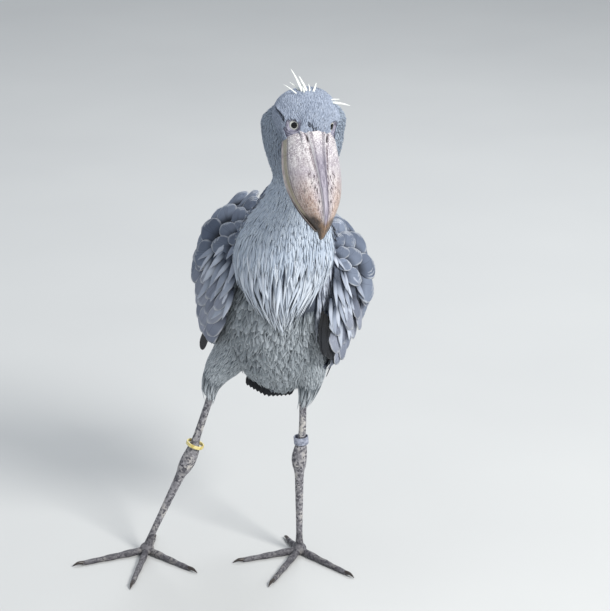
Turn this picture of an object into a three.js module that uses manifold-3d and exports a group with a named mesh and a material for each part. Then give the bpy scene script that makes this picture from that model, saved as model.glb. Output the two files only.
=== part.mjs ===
// A shoebill (Balaeniceps rex) at life size, stepping forward with its weight on the left leg.
// Millimetres, +Z up. The bird faces -Y, so its own left side is at +X.
// Every shape is worked out first in a stage frame whose origin is the sole under the left tarsus.
import * as THREE from "three";
import { mergeVertices } from "three/addons/utils/BufferGeometryUtils.js";
import Module from "manifold-3d";

const wasm = await Module();
wasm.setup();

// Driving sizes
const GAP = 0.35; // clear space between two pieces that touch
const CUT = GAP + 0.05; // how far a cutter stands proud of the piece it is made from
const STAGE_SHIFT = [177, 118, 0]; // brings the middle of the bounding box over the origin

// The trunk leans over the standing leg: its own frame is turned about the fore-and-aft axis.
const TRUNK_AT = [-52, 0, 600];
const TRUNK_LEAN = THREE.MathUtils.degToRad(10);

// The head is pitched down, turned to the bird's left and tilted.
const HEAD_AT = [27, -300, 1120]; // midway between the eyes
const HEAD_PITCH = THREE.MathUtils.degToRad(51.4);
const HEAD_TURN = THREE.MathUtils.degToRad(11.3);
const HEAD_TILT = THREE.MathUtils.degToRad(12.5);

const vec = (x, y, z) => new THREE.Vector3(x, y, z);
const radians = THREE.MathUtils.degToRad;
const mix = (a, b, t) => a + (b - a) * t;

// Values at t (0 to 1) on a Catmull-Rom curve through rows of numbers.
function along(rows, t) {
  const last = rows.length - 1;
  const s = Math.min(Math.max(t, 0), 1) * last;
  const i = Math.min(Math.floor(s), last - 1);
  const f = s - i;
  const row = (k) => rows[Math.min(Math.max(k, 0), last)];
  return row(i).map((b, k) => {
    const a = row(i - 1)[k];
    const c = row(i + 1)[k];
    const d = row(i + 2)[k];
    return 0.5 * (2 * b + (c - a) * f + (2 * a - 5 * b + 4 * c - d) * f ** 2 + (3 * b - a - 3 * c + d) * f ** 3);
  });
}

function geometryOf(points, index) {
  const flat = points.flatMap((p) => [p.x, p.y, p.z]);
  return new THREE.BufferGeometry()
    .setAttribute("position", new THREE.Float32BufferAttribute(flat, 3))
    .setIndex(index);
}

// A closed three.js geometry as a manifold-3d solid, turned outside out if it needs it.
function solidOf(geometry) {
  const bare = geometry.clone();
  bare.deleteAttribute("normal");
  bare.deleteAttribute("uv");
  const merged = mergeVertices(bare, 1e-4);
  const corners = [...merged.index.array];
  const kept = [];
  for (let i = 0; i < corners.length; i += 3) {
    const [a, b, c] = corners.slice(i, i + 3);
    if (a !== b && b !== c && a !== c) kept.push(a, b, c);
  }
  const make = (triangles) =>
    new wasm.Manifold(
      new wasm.Mesh({
        numProp: 3,
        vertProperties: new Float32Array(merged.attributes.position.array),
        triVerts: new Uint32Array(triangles),
      }),
    );
  const solid = make(kept);
  if (solid.volume() > 0) return solid;
  for (let i = 0; i < kept.length; i += 3) [kept[i + 1], kept[i + 2]] = [kept[i + 2], kept[i + 1]];
  return make(kept);
}

// Joins solids and keeps the largest closed surface, which drops scraps and fills sealed hollows.
function joined(...solids) {
  return largest(wasm.Manifold.union(solids));
}

function largest(solid) {
  return solid.decompose().reduce((a, b) => (b.volume() > a.volume() ? b : a));
}

function minus(solid, ...cutters) {
  return largest(cutters.reduce((rest, cutter) => rest.subtract(cutter), solid));
}

// A closed loft through rings that all have the same number of points, its ends closed by fans.
function loft(rings) {
  const sides = rings[0].length;
  const points = rings.flat();
  const index = [];
  for (let j = 0; j + 1 < rings.length; j++)
    for (let i = 0; i < sides; i++) {
      const a = j * sides + i;
      const b = j * sides + ((i + 1) % sides);
      index.push(a, b, b + sides, a, b + sides, a + sides);
    }
  const ends = [0, rings.length - 1].map((j) => {
    const middle = rings[j].reduce((sum, p) => sum.add(p), vec(0, 0, 0)).divideScalar(sides);
    return points.push(middle) - 1;
  });
  const top = (rings.length - 1) * sides;
  for (let i = 0; i < sides; i++) {
    const next = (i + 1) % sides;
    index.push(ends[0], next, i, ends[1], top + i, top + next);
  }
  return solidOf(geometryOf(points, index));
}

// The skin of a limb, round or oval, through rows of [x, y, z, half-width, half-depth].
// The half-width lies square to the limb and to the line "fore".
function limbSkin(rows, fore = vec(0, -1, 0)) {
  const at = (t) => vec(...along(rows, t).slice(0, 3));
  return (t, a, grow = 0) => {
    const step = 0.01;
    const [, , , wide, deep] = along(rows, t);
    const run = at(Math.min(t + step, 1)).sub(at(Math.max(t - step, 0))).normalize();
    const side = run.clone().cross(fore).normalize();
    const front = side.clone().cross(run).normalize();
    return at(t)
      .addScaledVector(side, (wide + grow) * Math.cos(a))
      .addScaledVector(front, (deep + grow) * Math.sin(a))
      .addScaledVector(run, t <= 0 ? -grow : t >= 1 ? grow : 0);
  };
}

function limb(rows, { rings = 8, sides = 12, grow = 0, fore = vec(0, -1, 0) } = {}) {
  const skin = limbSkin(rows, fore);
  return loft(
    Array.from({ length: rings + 1 }, (_, j) =>
      Array.from({ length: sides }, (_, i) => skin(j / rings, (2 * Math.PI * i) / sides, grow)),
    ),
  );
}

// The lie of a skin at one place: its point, its directions along t and a, and its outward normal.
// hand is -1 where the skin is a mirror image.
function lieOf(skin, t, a, hand) {
  const step = 1e-3;
  const inside = Math.min(Math.max(t, step), 1 - step);
  const down = skin(inside + step, a).sub(skin(inside - step, a)).divideScalar(2 * step);
  const round = skin(inside, a + step).sub(skin(inside, a - step)).divideScalar(2 * step);
  const out = down.clone().cross(round).multiplyScalar(hand).normalize();
  return { point: skin(inside, a), down, round, out };
}

// Feather outlines, as [share of the length, share of the width] from the root towards the tip.
const LANCE = [[0, 0.6], [0.35, 1], [0.72, 0.66]];
const BLADE = [[0, 0.5], [0.35, 0.95], [0.72, 1], [0.93, 0.58]];
const ROUND = [[0, 0.5], [0.4, 0.95], [0.74, 1], [0.94, 0.62]];

// A feather laid on a skin: it starts under the skin at (t, a) and walks over it, its heading 0
// along t and 90 degrees along a. Where the skin ends it goes straight on.
// Its section is a flat rhomb, so both faces are split into triangles alike.
function vane(skin, feather) {
  const { t, a, long, wide, heading = 0 } = feather;
  const { curl = 0, thick = 1.3, sink = 3, rise = 0.12, tilt = 0, shape = LANCE, hand = 1, ends = [-99, 99] } = feather;
  const points = [];
  const place = { t, a };
  let lie = lieOf(skin, t, a, hand);
  let free = false;
  for (let k = 0; k <= shape.length; k++) {
    const [far, width] = shape[k] ?? [1, 0];
    if (!free) lie = lieOf(skin, place.t, place.a, hand);
    const angle = radians(heading + curl * far);
    const along = lie.down.clone().normalize().multiplyScalar(Math.cos(angle));
    const run = along.addScaledVector(lie.round.clone().normalize(), Math.sin(angle)).normalize();
    const side = run.clone().cross(lie.out).normalize().applyAxisAngle(run, radians(tilt));
    const up = side.clone().cross(run).normalize();
    const middle = lie.point.clone().addScaledVector(lie.out, rise * long * far - sink);
    if (k === shape.length) points.push(middle);
    else {
      const half = wide * width * 0.5;
      const ridge = thick * (1 - 0.5 * far);
      points.push(middle.clone().addScaledVector(side, half));
      points.push(middle.clone().addScaledVector(up, ridge));
      points.push(middle.clone().addScaledVector(side, -half));
      points.push(middle.clone().addScaledVector(up, -ridge));
    }
    const stride = long * ((shape[k + 1] ?? [1])[0] - far);
    place.t += (Math.cos(angle) * stride) / lie.down.length();
    place.a += (Math.sin(angle) * stride) / lie.round.length();
    if (place.t < 0 || place.t > 1 || place.a < ends[0] || place.a > ends[1]) free = true;
    if (free) lie = { ...lie, point: lie.point.clone().addScaledVector(run, stride) };
  }
  const index = [1, 0, 2, 3, 2, 0];
  const steps = shape.length;
  const tip = steps * 4;
  const turns = [
    [0, 1, false],
    [2, 1, true],
    [2, 3, false],
    [0, 3, true],
  ];
  const face = (flip, i, j, k) => index.push(...(flip ? [j, i, k] : [i, j, k]));
  for (let k = 0; k < steps; k++)
    for (const [edge, ridge, flip] of turns) {
      const e = 4 * k + edge;
      const r = 4 * k + ridge;
      if (k === steps - 1) face(flip, e, r, tip);
      else {
        face(flip, e, r, r + 4);
        face(flip, e, r + 4, e + 4);
      }
    }
  return solidOf(geometryOf(points, index));
}

// Seeded random numbers from -1 to 1.
function dice(seed) {
  let state = seed;
  return () => {
    state = (state * 16807) % 2147483647;
    return (state / 2147483647) * 2 - 1;
  };
}

// Frames of the trunk and the head, as groups of the scene and as matrices for cutting.
const trunk = new THREE.Group();
trunk.position.set(...TRUNK_AT);
trunk.rotation.y = TRUNK_LEAN;

const head = new THREE.Group();
head.position.set(...HEAD_AT);
{
  const forward = vec(
    Math.cos(HEAD_PITCH) * Math.sin(HEAD_TURN),
    -Math.cos(HEAD_PITCH) * Math.cos(HEAD_TURN),
    -Math.sin(HEAD_PITCH),
  );
  const left = vec(Math.cos(HEAD_TURN), Math.sin(HEAD_TURN), 0);
  left.applyAxisAngle(forward, -HEAD_TILT);
  const back = forward.clone().negate();
  const up = left.clone().cross(back);
  head.setRotationFromMatrix(new THREE.Matrix4().makeBasis(left, back, up));
}
const legs = new THREE.Group();
for (const group of [trunk, head, legs]) group.updateMatrixWorld(true);

const toStage = (solid, group) => solid.transform(group.matrixWorld.elements);
const toGroup = (solid, group) => solid.transform(group.matrixWorld.clone().invert().elements);

// Materials
const finish = (color, roughness = 0.75) => new THREE.MeshStandardMaterial({ color, roughness, metalness: 0 });
const FEATHER_PALE = () => finish("#a9b3c2", 0.85);
const FEATHER_BODY = () => finish("#9aa4b2", 0.85);
const FEATHER_SLATE = () => finish("#6f7d92", 0.8);
const FEATHER_DARK = () => finish("#454b57", 0.8);
const BILL_HORN = () => finish("#cbb5a6", 0.5);
const EYE_PALE = () => finish("#c9cbb4", 0.08);
const LEG_SKIN = () => finish("#77757a", 0.7);
const CLAW_HORN = () => finish("#2e2b2a", 0.45);

function add(group, name, solid, material) {
  const { numProp, numVert, vertProperties, triVerts } = solid.getMesh();
  const positions = new Float32Array(numVert * 3);
  for (let i = 0; i < numVert; i++) positions.set(vertProperties.subarray(i * numProp, i * numProp + 3), i * 3);
  const geometry = new THREE.BufferGeometry()
    .setAttribute("position", new THREE.BufferAttribute(positions, 3))
    .setIndex(new THREE.BufferAttribute(triVerts, 1));
  geometry.computeVertexNormals();
  const mesh = new THREE.Mesh(geometry, material);
  mesh.name = name;
  group.add(mesh);
}

// Trunk: level slices in its own frame, as [height, half-width, front, back, middle]. The vent hangs to its left.
const TRUNK_SLICES = [
  [304, 26, -120, -62, 0],
  [286, 62, -140, -36, 0],
  [250, 88, -158, 20, 0],
  [200, 108, -176, 72, 0],
  [140, 120, -186, 114, 0],
  [75, 126, -187, 144, 0],
  [10, 127, -177, 164, 0],
  [-50, 122, -154, 173, 2],
  [-100, 108, -122, 168, 8],
  [-140, 86, -84, 152, 18],
  [-172, 54, -40, 126, 30],
  [-190, 20, 10, 84, 38],
];

function trunkSkin(t, a, grow = 0) {
  const [z, wide, front, back, middle] = along(TRUNK_SLICES, t);
  const depth = (back - front) / 2 + grow;
  return vec(middle + (wide + grow) * Math.cos(a), (front + back) / 2 + depth * Math.sin(a), z);
}

// A closed solid inside a skin, its two ends moved out by "grow" along z.
function filled(skin, rings, sides, grow = 0) {
  return loft(
    Array.from({ length: rings + 1 }, (_, j) =>
      Array.from({ length: sides }, (_, i) => {
        const point = skin(j / rings, (2 * Math.PI * i) / sides, grow);
        point.z += j === 0 ? grow : j === rings ? -grow : 0;
        return point;
      }),
    ),
  );
}

const trunkSolid = (grow = 0) => filled(trunkSkin, 17, 22, grow);

// Neck and breast, in the stage frame, without the long plumes, as
// [x, y, height, half-width, front half-depth, back half-depth].
const NECK_SLICES = [
  [18, -256, 1160, 60, 34, 46],
  [11, -240, 1125, 88, 50, 56],
  [9, -236, 1092, 88, 54, 58],
  [9, -236, 1058, 83, 52, 56],
  [8, -232, 1022, 72, 46, 54],
  [2, -224, 985, 58, 44, 60],
  [-6, -208, 948, 68, 50, 78],
  [-14, -190, 912, 78, 58, 100],
  [-24, -174, 874, 92, 70, 110],
  [-30, -162, 832, 104, 82, 98],
  [-34, -154, 786, 107, 88, 66],
  [-38, -148, 738, 93, 84, 42],
  [-42, -150, 692, 62, 66, 30],
  [-40, -160, 652, 28, 34, 12],
];
const BREAST_TOP = 930; // height of the cut between neck and breast

function neckSkin(t, a, grow = 0) {
  const [x, y, z, wide, front, back] = along(NECK_SLICES, t);
  const depth = (Math.sin(a) > 0 ? back : front) + grow;
  return vec(x + (wide + grow) * Math.cos(a), y + depth * Math.sin(a), z);
}

const neckSolid = (grow = 0) => filled(neckSkin, 20, 20, grow);

// The slice of a skin at a height, by halving.
function sliceAt(rows, height, column) {
  let [top, bottom] = [0, 1];
  for (let i = 0; i < 20; i++) {
    const middle = (top + bottom) / 2;
    if (along(rows, middle)[column] > height) top = middle;
    else bottom = middle;
  }
  return top;
}

// The long breast plumes: rows of locks that hang over one another and end in a pointed fringe.
// A row is [height of its roots, how far round to each side in degrees, locks, length, width].
const BREAST_ROWS = [
  [838, 92, 6, 86, 50],
  [796, 86, 6, 88, 47],
  [750, 78, 6, 84, 41],
  [704, 66, 5, 76, 35],
];
const BREAST_LOCK = { thick: 1.4, sink: 3, rise: 0.15 };

function breastLocks() {
  const shake = dice(7);
  return BREAST_ROWS.flatMap(([height, spread, count, long, wide], row) =>
    Array.from({ length: count }, (_, i) => {
      const across = ((i + 0.5) / count) * 2 - 1;
      return vane(neckSkin, {
        ...BREAST_LOCK,
        wide,
        t: sliceAt(NECK_SLICES, height + 6 * shake(), 2),
        a: radians(-90 + spread * across),
        long: long * (1 + 0.1 * shake()),
        heading: -5 * across + 5 * shake(),
        tilt: (row % 2 ? -1 : 1) * 8,
      });
    }),
  );
}

// Head, in its own frame: slices across the line of the bill, as
// [distance forward of the eyes, half-width, top, bottom].
const HEAD_SLICES = [
  [-92, 22, -2, -36],
  [-82, 46, 20, -58],
  [-62, 64, 38, -76],
  [-38, 71, 48, -84],
  [-14, 67, 49, -76],
  [4, 61, 42, -67],
  [18, 58.5, 29.5, -61],
];
const LORES = 9; // how much further forward the feathers reach at the sides of the bill
const SOCKET = { out: 43, back: -2, deep: 9, wide: 12, long: 17 }; // the hollow that each eye lies in

function headSkin(t, a, grow = 0) {
  const [ahead, wide, top, bottom] = along(HEAD_SLICES, t);
  const middle = mix(bottom, top, 0.42);
  const [x, z] = [Math.cos(a), Math.sin(a)];
  const deep = (z > 0 ? top - middle : middle - bottom) + grow;
  const flank = (wide + grow) * Math.abs(x);
  const far = ((flank - SOCKET.out) / SOCKET.wide) ** 2 + ((-ahead - SOCKET.back) / SOCKET.long) ** 2;
  const hollow = z > -0.2 ? SOCKET.deep * Math.exp(-far) : 0;
  const reach = LORES * Math.min(Math.max(t, 0), 1) ** 8 * x ** 2;
  return vec((flank - hollow * Math.abs(x)) * Math.sign(x), -ahead - reach, middle + (deep - hollow) * z);
}

function headSolid(grow = 0) {
  const rings = 13;
  const sides = 24;
  return loft(
    Array.from({ length: rings + 1 }, (_, j) =>
      Array.from({ length: sides }, (_, i) => {
        const point = headSkin(j / rings, (2 * Math.PI * i) / sides, grow);
        point.y += j === 0 ? grow : j === rings ? -grow : 0;
        return point;
      }),
    ),
  );
}

// The crest: pale flat spikes at the back of the crown, each from its base to its tip, as
// [x, y, z of the base, x, y, z of the tip, width].
const CREST = [
  [-24, 66, 28, -47, 112, 38, 7.5],
  [-15, 66, 31, -28, 100, 31, 7],
  [-27, 70, 23, -46, 91, 19, 6],
  [-1, 64, 35, 10, 86, 31, 6],
  [41, 42, 31, 80, 36, 32, 6.5],
  [-21, 63, 32, -21, 97, 21, 5.5],
  [-9, 65, 33, -2, 89, 17, 5],
  [-33, 60, 24, -62, 84, 22, 4.5],
  [36, 48, 30, 60, 52, 27, 4.5],
];
const CREST_ROOT = 7; // how deep a spike starts under the skin
const CREST_FLAT = 0.42; // its thickness as a share of its width
const CREST_TAPER = 0.6;
const CREST_STEPS = [0, 0.35, 0.7, 0.97]; // its sections, as shares of its length

function spike([x, y, z, tipX, tipY, tipZ, wide]) {
  const tip = vec(tipX, tipY, tipZ);
  const run = tip.clone().sub(vec(x, y, z)).normalize();
  const start = vec(x, y, z).addScaledVector(run, -CREST_ROOT);
  const side = run.clone().cross(vec(0, 0, 1)).normalize();
  const up = side.clone().cross(run);
  const rings = CREST_STEPS.map((s) => {
    const half = (wide / 2) * (1 - s) ** CREST_TAPER;
    return [0, 1, 2, 3].map((k) =>
      start
        .clone()
        .lerp(tip, s)
        .addScaledVector(side, half * Math.cos((k * Math.PI) / 2))
        .addScaledVector(up, half * CREST_FLAT * Math.sin((k * Math.PI) / 2)),
    );
  });
  return loft(rings);
}

// Bill, in the head's frame, as
// [distance forward of the eyes, half-width, culmen, line of the mouth, underside].
const BILL_SLICES = [
  [-12, 44, 24, -24, -46],
  [15, 53, 26, -28, -56],
  [50, 57.5, 25, -31, -62],
  [85, 59.5, 25, -33, -63],
  [120, 57, 26, -32, -59],
  [155, 49, 25, -28, -51],
  [185, 37, 21, -23, -42],
  [208, 25, 13, -19, -34],
  [224, 15, 2, -17, -27],
];
const NAIL_TIP = [240, -30]; // forward, height of the hooked tip
// The raised lines of the culmen, as [distance forward of the eyes, half the space between them].
const RIDGES = [[0, 19], [20, 18], [70, 12.5], [120, 8.5], [160, 6.4], [200, 4.4], [240, 3]];

function ridgeAt(ahead) {
  const next = Math.max(RIDGES.findIndex(([place]) => place >= ahead), 1);
  const [[a, wide], [b, narrow]] = [RIDGES[next - 1], RIDGES[next]];
  return mix(wide, narrow, (ahead - a) / (b - a));
}

function billUpper() {
  const rings = 11;
  const made = Array.from({ length: rings + 1 }, (_, j) => {
    const [ahead, wide, culmen, mouth] = along(BILL_SLICES, j / rings);
    const floor = mouth + GAP / 2;
    const rise = culmen - floor;
    const ridge = ridgeAt(ahead) / wide;
    const outline = [
      [0, floor + 0.12 * rise],
      [0.6, floor + 0.08 * rise],
      [1, floor],
      [1, floor + 0.2 * rise],
      [0.9, floor + 0.5 * rise],
      [0.62, floor + 0.8 * rise],
      [1.4 * ridge, floor + 0.9 * rise],
      [ridge, culmen],
    ];
    const half = outline.map(([x, z]) => [x * wide, z]);
    const whole = [...half, [0, culmen - 0.5], ...half.slice(1).reverse().map(([x, z]) => [-x, z])];
    return whole.map(([x, z]) => vec(x, -ahead, z));
  });
  const [ahead, tip] = NAIL_TIP;
  const last = made.at(-1);
  const nail = [0.55, 1].map((t) =>
    last.map((p) => vec(p.x * (1 - 0.85 * t), mix(p.y, -ahead, Math.sin((t * Math.PI) / 2)), mix(p.z, tip, t))),
  );
  return loft([...made, ...nail]);
}

function billLower() {
  const rings = 10;
  return loft(
    Array.from({ length: rings + 1 }, (_, j) => {
      const [ahead, wide, , mouth, under] = along(BILL_SLICES, j / rings);
      const roof = mouth - GAP / 2;
      const outline = [
        [0, roof],
        [0.97, roof],
        [0.97, mix(roof, under, 0.4)],
        [0.8, mix(roof, under, 0.8)],
        [0.3, under],
      ];
      const half = outline.map(([x, z]) => [x * wide, z]);
      const whole = [...half, [0, under + 2], ...half.slice(1).reverse().map(([x, z]) => [-x, z])];
      return whole.map(([x, z]) => vec(x, -ahead, z));
    }),
  );
}

// A plain block just larger than both halves of the bill, which the throat is cut clear of.
function billClear(grow) {
  const rings = 12;
  return loft(
    Array.from({ length: rings + 1 }, (_, j) => {
      const [ahead, wide, culmen, mouth, under] = along(BILL_SLICES, j / rings);
      const outline = [
        [-wide - grow, mouth],
        [-0.97 * wide - grow, mix(mouth, under, 0.45)],
        [-0.85 * wide, under - grow],
        [0.85 * wide, under - grow],
        [0.97 * wide + grow, mix(mouth, under, 0.45)],
        [wide + grow, mouth],
        [wide + grow, mix(mouth, culmen, 0.6)],
        [0.4 * wide, culmen + grow],
        [-0.4 * wide, culmen + grow],
        [-wide - grow, mix(mouth, culmen, 0.6)],
      ];
      return outline.map(([x, z]) => vec(x, -ahead + (j === 0 ? grow : 0), z));
    }),
  );
}

// Eyes, in the head's frame: each looks outward, forward and up from a shallow hollow.
const EYE_RADIUS = 13.5;
const EYE_AT = [35.5, 4, -1]; // sideways, backward, up
const EYE_LOOK = vec(0.66, -0.45, 0.6).normalize();
const LID_OUT = 9.6; // how far out of the eye's middle the rim of the lids lies
const LID_RADIUS = 11.6;

const eyeAt = (side, out = 0) =>
  EYE_LOOK.clone().multiplyScalar(out).add(vec(...EYE_AT)).multiply(vec(side, 1, 1));

function ballAt(point, radius, sides) {
  const ball = new THREE.SphereGeometry(radius, sides, Math.round(sides * 0.6));
  return solidOf(ball.translate(point.x, point.y, point.z));
}

const eyeball = (side, grow = 0) => ballAt(eyeAt(side), EYE_RADIUS + grow, 12);
const hollow = (side) => ballAt(eyeAt(side, 21), 15, 10);

function lids(side) {
  const look = EYE_LOOK.clone().multiply(vec(side, 1, 1));
  const turn = new THREE.Quaternion().setFromUnitVectors(vec(0, 0, 1), look);
  const rim = new THREE.TorusGeometry(LID_RADIUS, 2.8, 5, 12).applyQuaternion(turn);
  return solidOf(rim.translate(...eyeAt(side, LID_OUT).toArray()));
}

function nostril(side) {
  const slit = new THREE.SphereGeometry(1, 8, 6).scale(1.4, 8, 4).rotateZ(side * 0.12);
  return solidOf(slit.translate(side * 14.5, -34, 23));
}

// Wing, in the trunk's frame, for the left side: level slices of its curved sheet, as
// [height, front edge out and back, bulge out and back, rear edge out and back, half-thickness].
const WING_SLICES = [
  [238, 80, -50, 112, 0, 92, 60, 5],
  [212, 92, -95, 148, -20, 124, 100, 11],
  [170, 102, -130, 190, -50, 156, 122, 15],
  [120, 108, -142, 208, -50, 164, 132, 16],
  [70, 112, -138, 208, -40, 164, 134, 14],
  [20, 118, -122, 196, -30, 160, 130, 12],
  [-25, 126, -98, 184, -15, 154, 118, 9],
  [-60, 130, -70, 166, 0, 148, 100, 6],
  [-82, 130, -40, 148, 15, 142, 70, 3.5],
];
const WING_DROP = { left: -16, right: 0 }; // the left wing hangs a little lower

// The sheet's middle surface: t runs down the slices, c from the front edge to the rear one.
function wingSheet(t, c) {
  const [z, x0, y0, x1, y1, x2, y2] = along(WING_SLICES, t);
  const bend = (p, q, r) => (1 - c) ** 2 * p + 2 * c * (1 - c) * q + c * c * r;
  return vec(bend(x0, x1, x2), bend(y0, y1, y2), z);
}

function wingFace(t, c, out) {
  const thick = along(WING_SLICES, t)[7];
  const { point, out: normal } = lieOf(wingSheet, t, c, 1);
  const taper = 0.28 + 0.72 * Math.sin(Math.PI * Math.min(Math.max(c, 0), 1));
  return point.addScaledVector(normal, out * thick * taper);
}

function wingCore() {
  const rings = 12;
  const chord = 8;
  return loft(
    Array.from({ length: rings + 1 }, (_, j) => {
      const outer = Array.from({ length: chord + 1 }, (_, i) => wingFace(j / rings, i / chord, 1));
      const inner = Array.from({ length: chord + 1 }, (_, i) => wingFace(j / rings, 1 - i / chord, -1));
      return [...outer, ...inner];
    }),
  );
}

const wingSkin = (t, c) => wingFace(t, c, 1);
const WING_EDGES = [0, 1];

// The wing's feathers in their tiers, as [height, chord, length, width, heading, rise] of the
// first and of the last feather of a row, and how many there are.
const WING_TIERS = [
  { shape: BLADE, thick: 1.3, count: 4, from: [-34, 0.18, 120, 54, 18, 0.03], to: [112, 0.8, 150, 64, 48, 0.04] },
  { shape: BLADE, thick: 1.4, count: 4, from: [-8, 0.06, 112, 50, 12, 0.08], to: [92, 0.66, 118, 56, 52, 0.08] },
  { shape: LANCE, thick: 1.4, count: 4, from: [34, 0.05, 98, 46, 10, 0.14], to: [108, 0.56, 108, 50, 48, 0.12] },
  { shape: LANCE, thick: 1.4, count: 4, from: [84, 0.05, 84, 40, 14, 0.18], to: [138, 0.46, 94, 44, 47, 0.16] },
  { shape: ROUND, thick: 1.6, count: 3, from: [66, 0.66, 90, 62, 36, 0.11], to: [190, 0.92, 92, 66, 52, 0.11] },
  { shape: ROUND, thick: 1.6, count: 4, from: [104, 0.46, 88, 60, 44, 0.18], to: [212, 0.74, 84, 62, 80, 0.17] },
  { shape: ROUND, thick: 1.6, count: 3, from: [144, 0.3, 76, 56, 56, 0.24], to: [226, 0.46, 68, 58, 118, 0.22] },
  { shape: ROUND, thick: 1.6, count: 3, from: [172, 0.14, 56, 44, 60, 0.24], to: [226, 0.24, 54, 50, 140, 0.24] },
];

// The long dark flight feathers of the hand leave the lower edge from the middle of the sheet.
const PRIMARIES = { count: 5, long: 215, wide: 30, thick: 1.4, shape: BLADE };

// The left hand also shows two of them inside the wing's front edge.
const FRONT_PRIMARIES = { count: 2, long: 135, wide: 32, thick: 1.4, shape: BLADE };

function wingFeathers(seed, front) {
  const shake = dice(seed);
  const tiers = WING_TIERS.flatMap(({ shape, thick, count, from, to }) =>
    Array.from({ length: count }, (_, i) => {
      const [height, a, long, wide, heading, rise] = from.map((x, k) => mix(x, to[k], i / (count - 1)));
      return vane(wingSkin, {
        shape,
        thick,
        wide,
        rise,
        a,
        t: sliceAt(WING_SLICES, height + 3 * shake(), 0),
        long: long * (1 + 0.06 * shake()),
        heading: heading + 4 * shake(),
        tilt: 8,
        ends: WING_EDGES,
      });
    }),
  );
  const primaries = Array.from({ length: PRIMARIES.count }, (_, i) => {
    const f = i / (PRIMARIES.count - 1);
    return vane(wingSheet, {
      ...PRIMARIES,
      t: mix(0.86, 0.66, f),
      a: mix(0.24, 0.6, f),
      long: PRIMARIES.long * (1 - 0.12 * f),
      heading: mix(36, 52, f),
      sink: 0,
      rise: -0.02,
      tilt: 9,
      ends: WING_EDGES,
    });
  });
  const inner = Array.from({ length: front ? FRONT_PRIMARIES.count : 0 }, (_, i) =>
    vane(wingSheet, {
      ...FRONT_PRIMARIES,
      t: sliceAt(WING_SLICES, 84 - 30 * i, 0),
      a: 0.02 + 0.07 * i,
      heading: 6 * i,
      sink: 2,
      rise: -0.01,
      tilt: 6,
      ends: WING_EDGES,
    }),
  );
  return [...tiers, ...primaries, ...inner];
}

// Tail, in the trunk's frame: a short root, as [x, y, height, half-width, half-depth], and a fan.
const TAIL_ROOT = [
  [0, 100, -40, 40, 34],
  [0, 146, -92, 40, 26],
  [-1, 180, -146, 36, 12],
  [-2, 200, -190, 30, 4],
];
const TAIL_FAN = { count: 7, long: 138, wide: 36, half: 26, spread: 15, turn: -11, thick: 1.3, shape: BLADE };
const TAIL_SLOPE = vec(0.08, 0.14, -0.98).normalize();
const TAIL_FROM = [34, 172, -150]; // the middle of the line that the fan grows from

function tailFan() {
  const [x, y, z] = TAIL_FROM;
  const across = (t, a) => vec(x + a, y, z).addScaledVector(TAIL_SLOPE, t * 200);
  return Array.from({ length: TAIL_FAN.count }, (_, i) => {
    const side = (i / (TAIL_FAN.count - 1)) * 2 - 1;
    return vane(across, {
      ...TAIL_FAN,
      t: 0,
      a: side * TAIL_FAN.half,
      long: TAIL_FAN.long * (1 - 0.12 * Math.abs(side)),
      heading: TAIL_FAN.turn + side * TAIL_FAN.spread,
      sink: -2.5 * (1 - Math.abs(side)),
      rise: 0,
      tilt: -Math.sign(side) * 6,
    });
  });
}

// Legs, in the stage frame. A row of a limb is [x, y, height, half-width, half-depth].
const LEGS = {
  left: {
    side: 1,
    thigh: [
      [10, -10, 565, 60, 78],
      [18, -14, 505, 54, 70],
      [24, -10, 455, 40, 50],
      [20, -4, 412, 25, 30],
      [11, -1, 380, 12, 14],
    ],
    shank: [
      [9, -1, 379.5, 8.4, 9],
      [8, 0, 330, 8.4, 9],
      [6, 0, 292, 9.4, 10],
      [3, 0, 266, 15, 14.6],
      [0, 0, 243, 17.5, 16],
    ],
    tarsus: [
      [0, 0, 242.6, 17.5, 16],
      [0, 1, 222, 15.5, 15],
      [0, 1, 200, 10.8, 12],
      [0, 1, 120, 8.6, 10.5],
      [0, 0, 50, 7.6, 10],
      [0, 0, 26, 10, 12],
    ],
    foot: [0, 0],
    toes: [
      { name: "hallux", angle: -157, reach: 70, claw: 24 },
      { name: "inner", angle: -70, reach: 140, claw: 24 },
      { name: "middle", angle: -21, reach: 168, claw: 26 },
      { name: "outer", angle: 43, reach: 160, claw: 24 },
    ],
    ring: { at: [4.4, 0, 288], tilt: -4, radius: 17, wall: 2.4, tall: 18 },
  },
  right: {
    side: -1,
    thigh: [
      [-118, -6, 560, 62, 76],
      [-150, -10, 508, 50, 66],
      [-182, -10, 466, 38, 50],
      [-200, -6, 428, 24, 30],
      [-203, -1, 396, 12, 14],
    ],
    shank: [
      [-203.4, -1, 395.5, 8.4, 9],
      [-219, 0, 345, 8.4, 9],
      [-237, 0, 290, 9.4, 10],
      [-245, 0, 262, 15, 14.6],
      [-256, 0, 236, 17.5, 16],
    ],
    tarsus: [
      [-256.2, 0, 235.6, 17.5, 16],
      [-266, 1, 216, 15.5, 15],
      [-277, 1, 194, 10.8, 12],
      [-310, 1, 122, 8.6, 10.5],
      [-343, 0, 50, 7.6, 10],
      [-354, 0, 26, 10, 12],
    ],
    foot: [-356, 0],
    toes: [
      { name: "hallux", angle: 170, reach: 70, claw: 24 },
      { name: "inner", angle: 48, reach: 140, claw: 24 },
      { name: "middle", angle: -8, reach: 168, claw: 26 },
      { name: "outer", angle: -66, reach: 160, claw: 24 },
    ],
    ring: { at: [-239.5, 0, 277], tilt: 20, radius: 21, wall: 3, tall: 8 },
  },
};

// Loose plumes that hang round the lower end of each thigh.
const FRINGE = { count: 6, t: 0.72, wide: 27, long: 60, thick: 1.5, sink: 3, rise: 0.05 };

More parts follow.
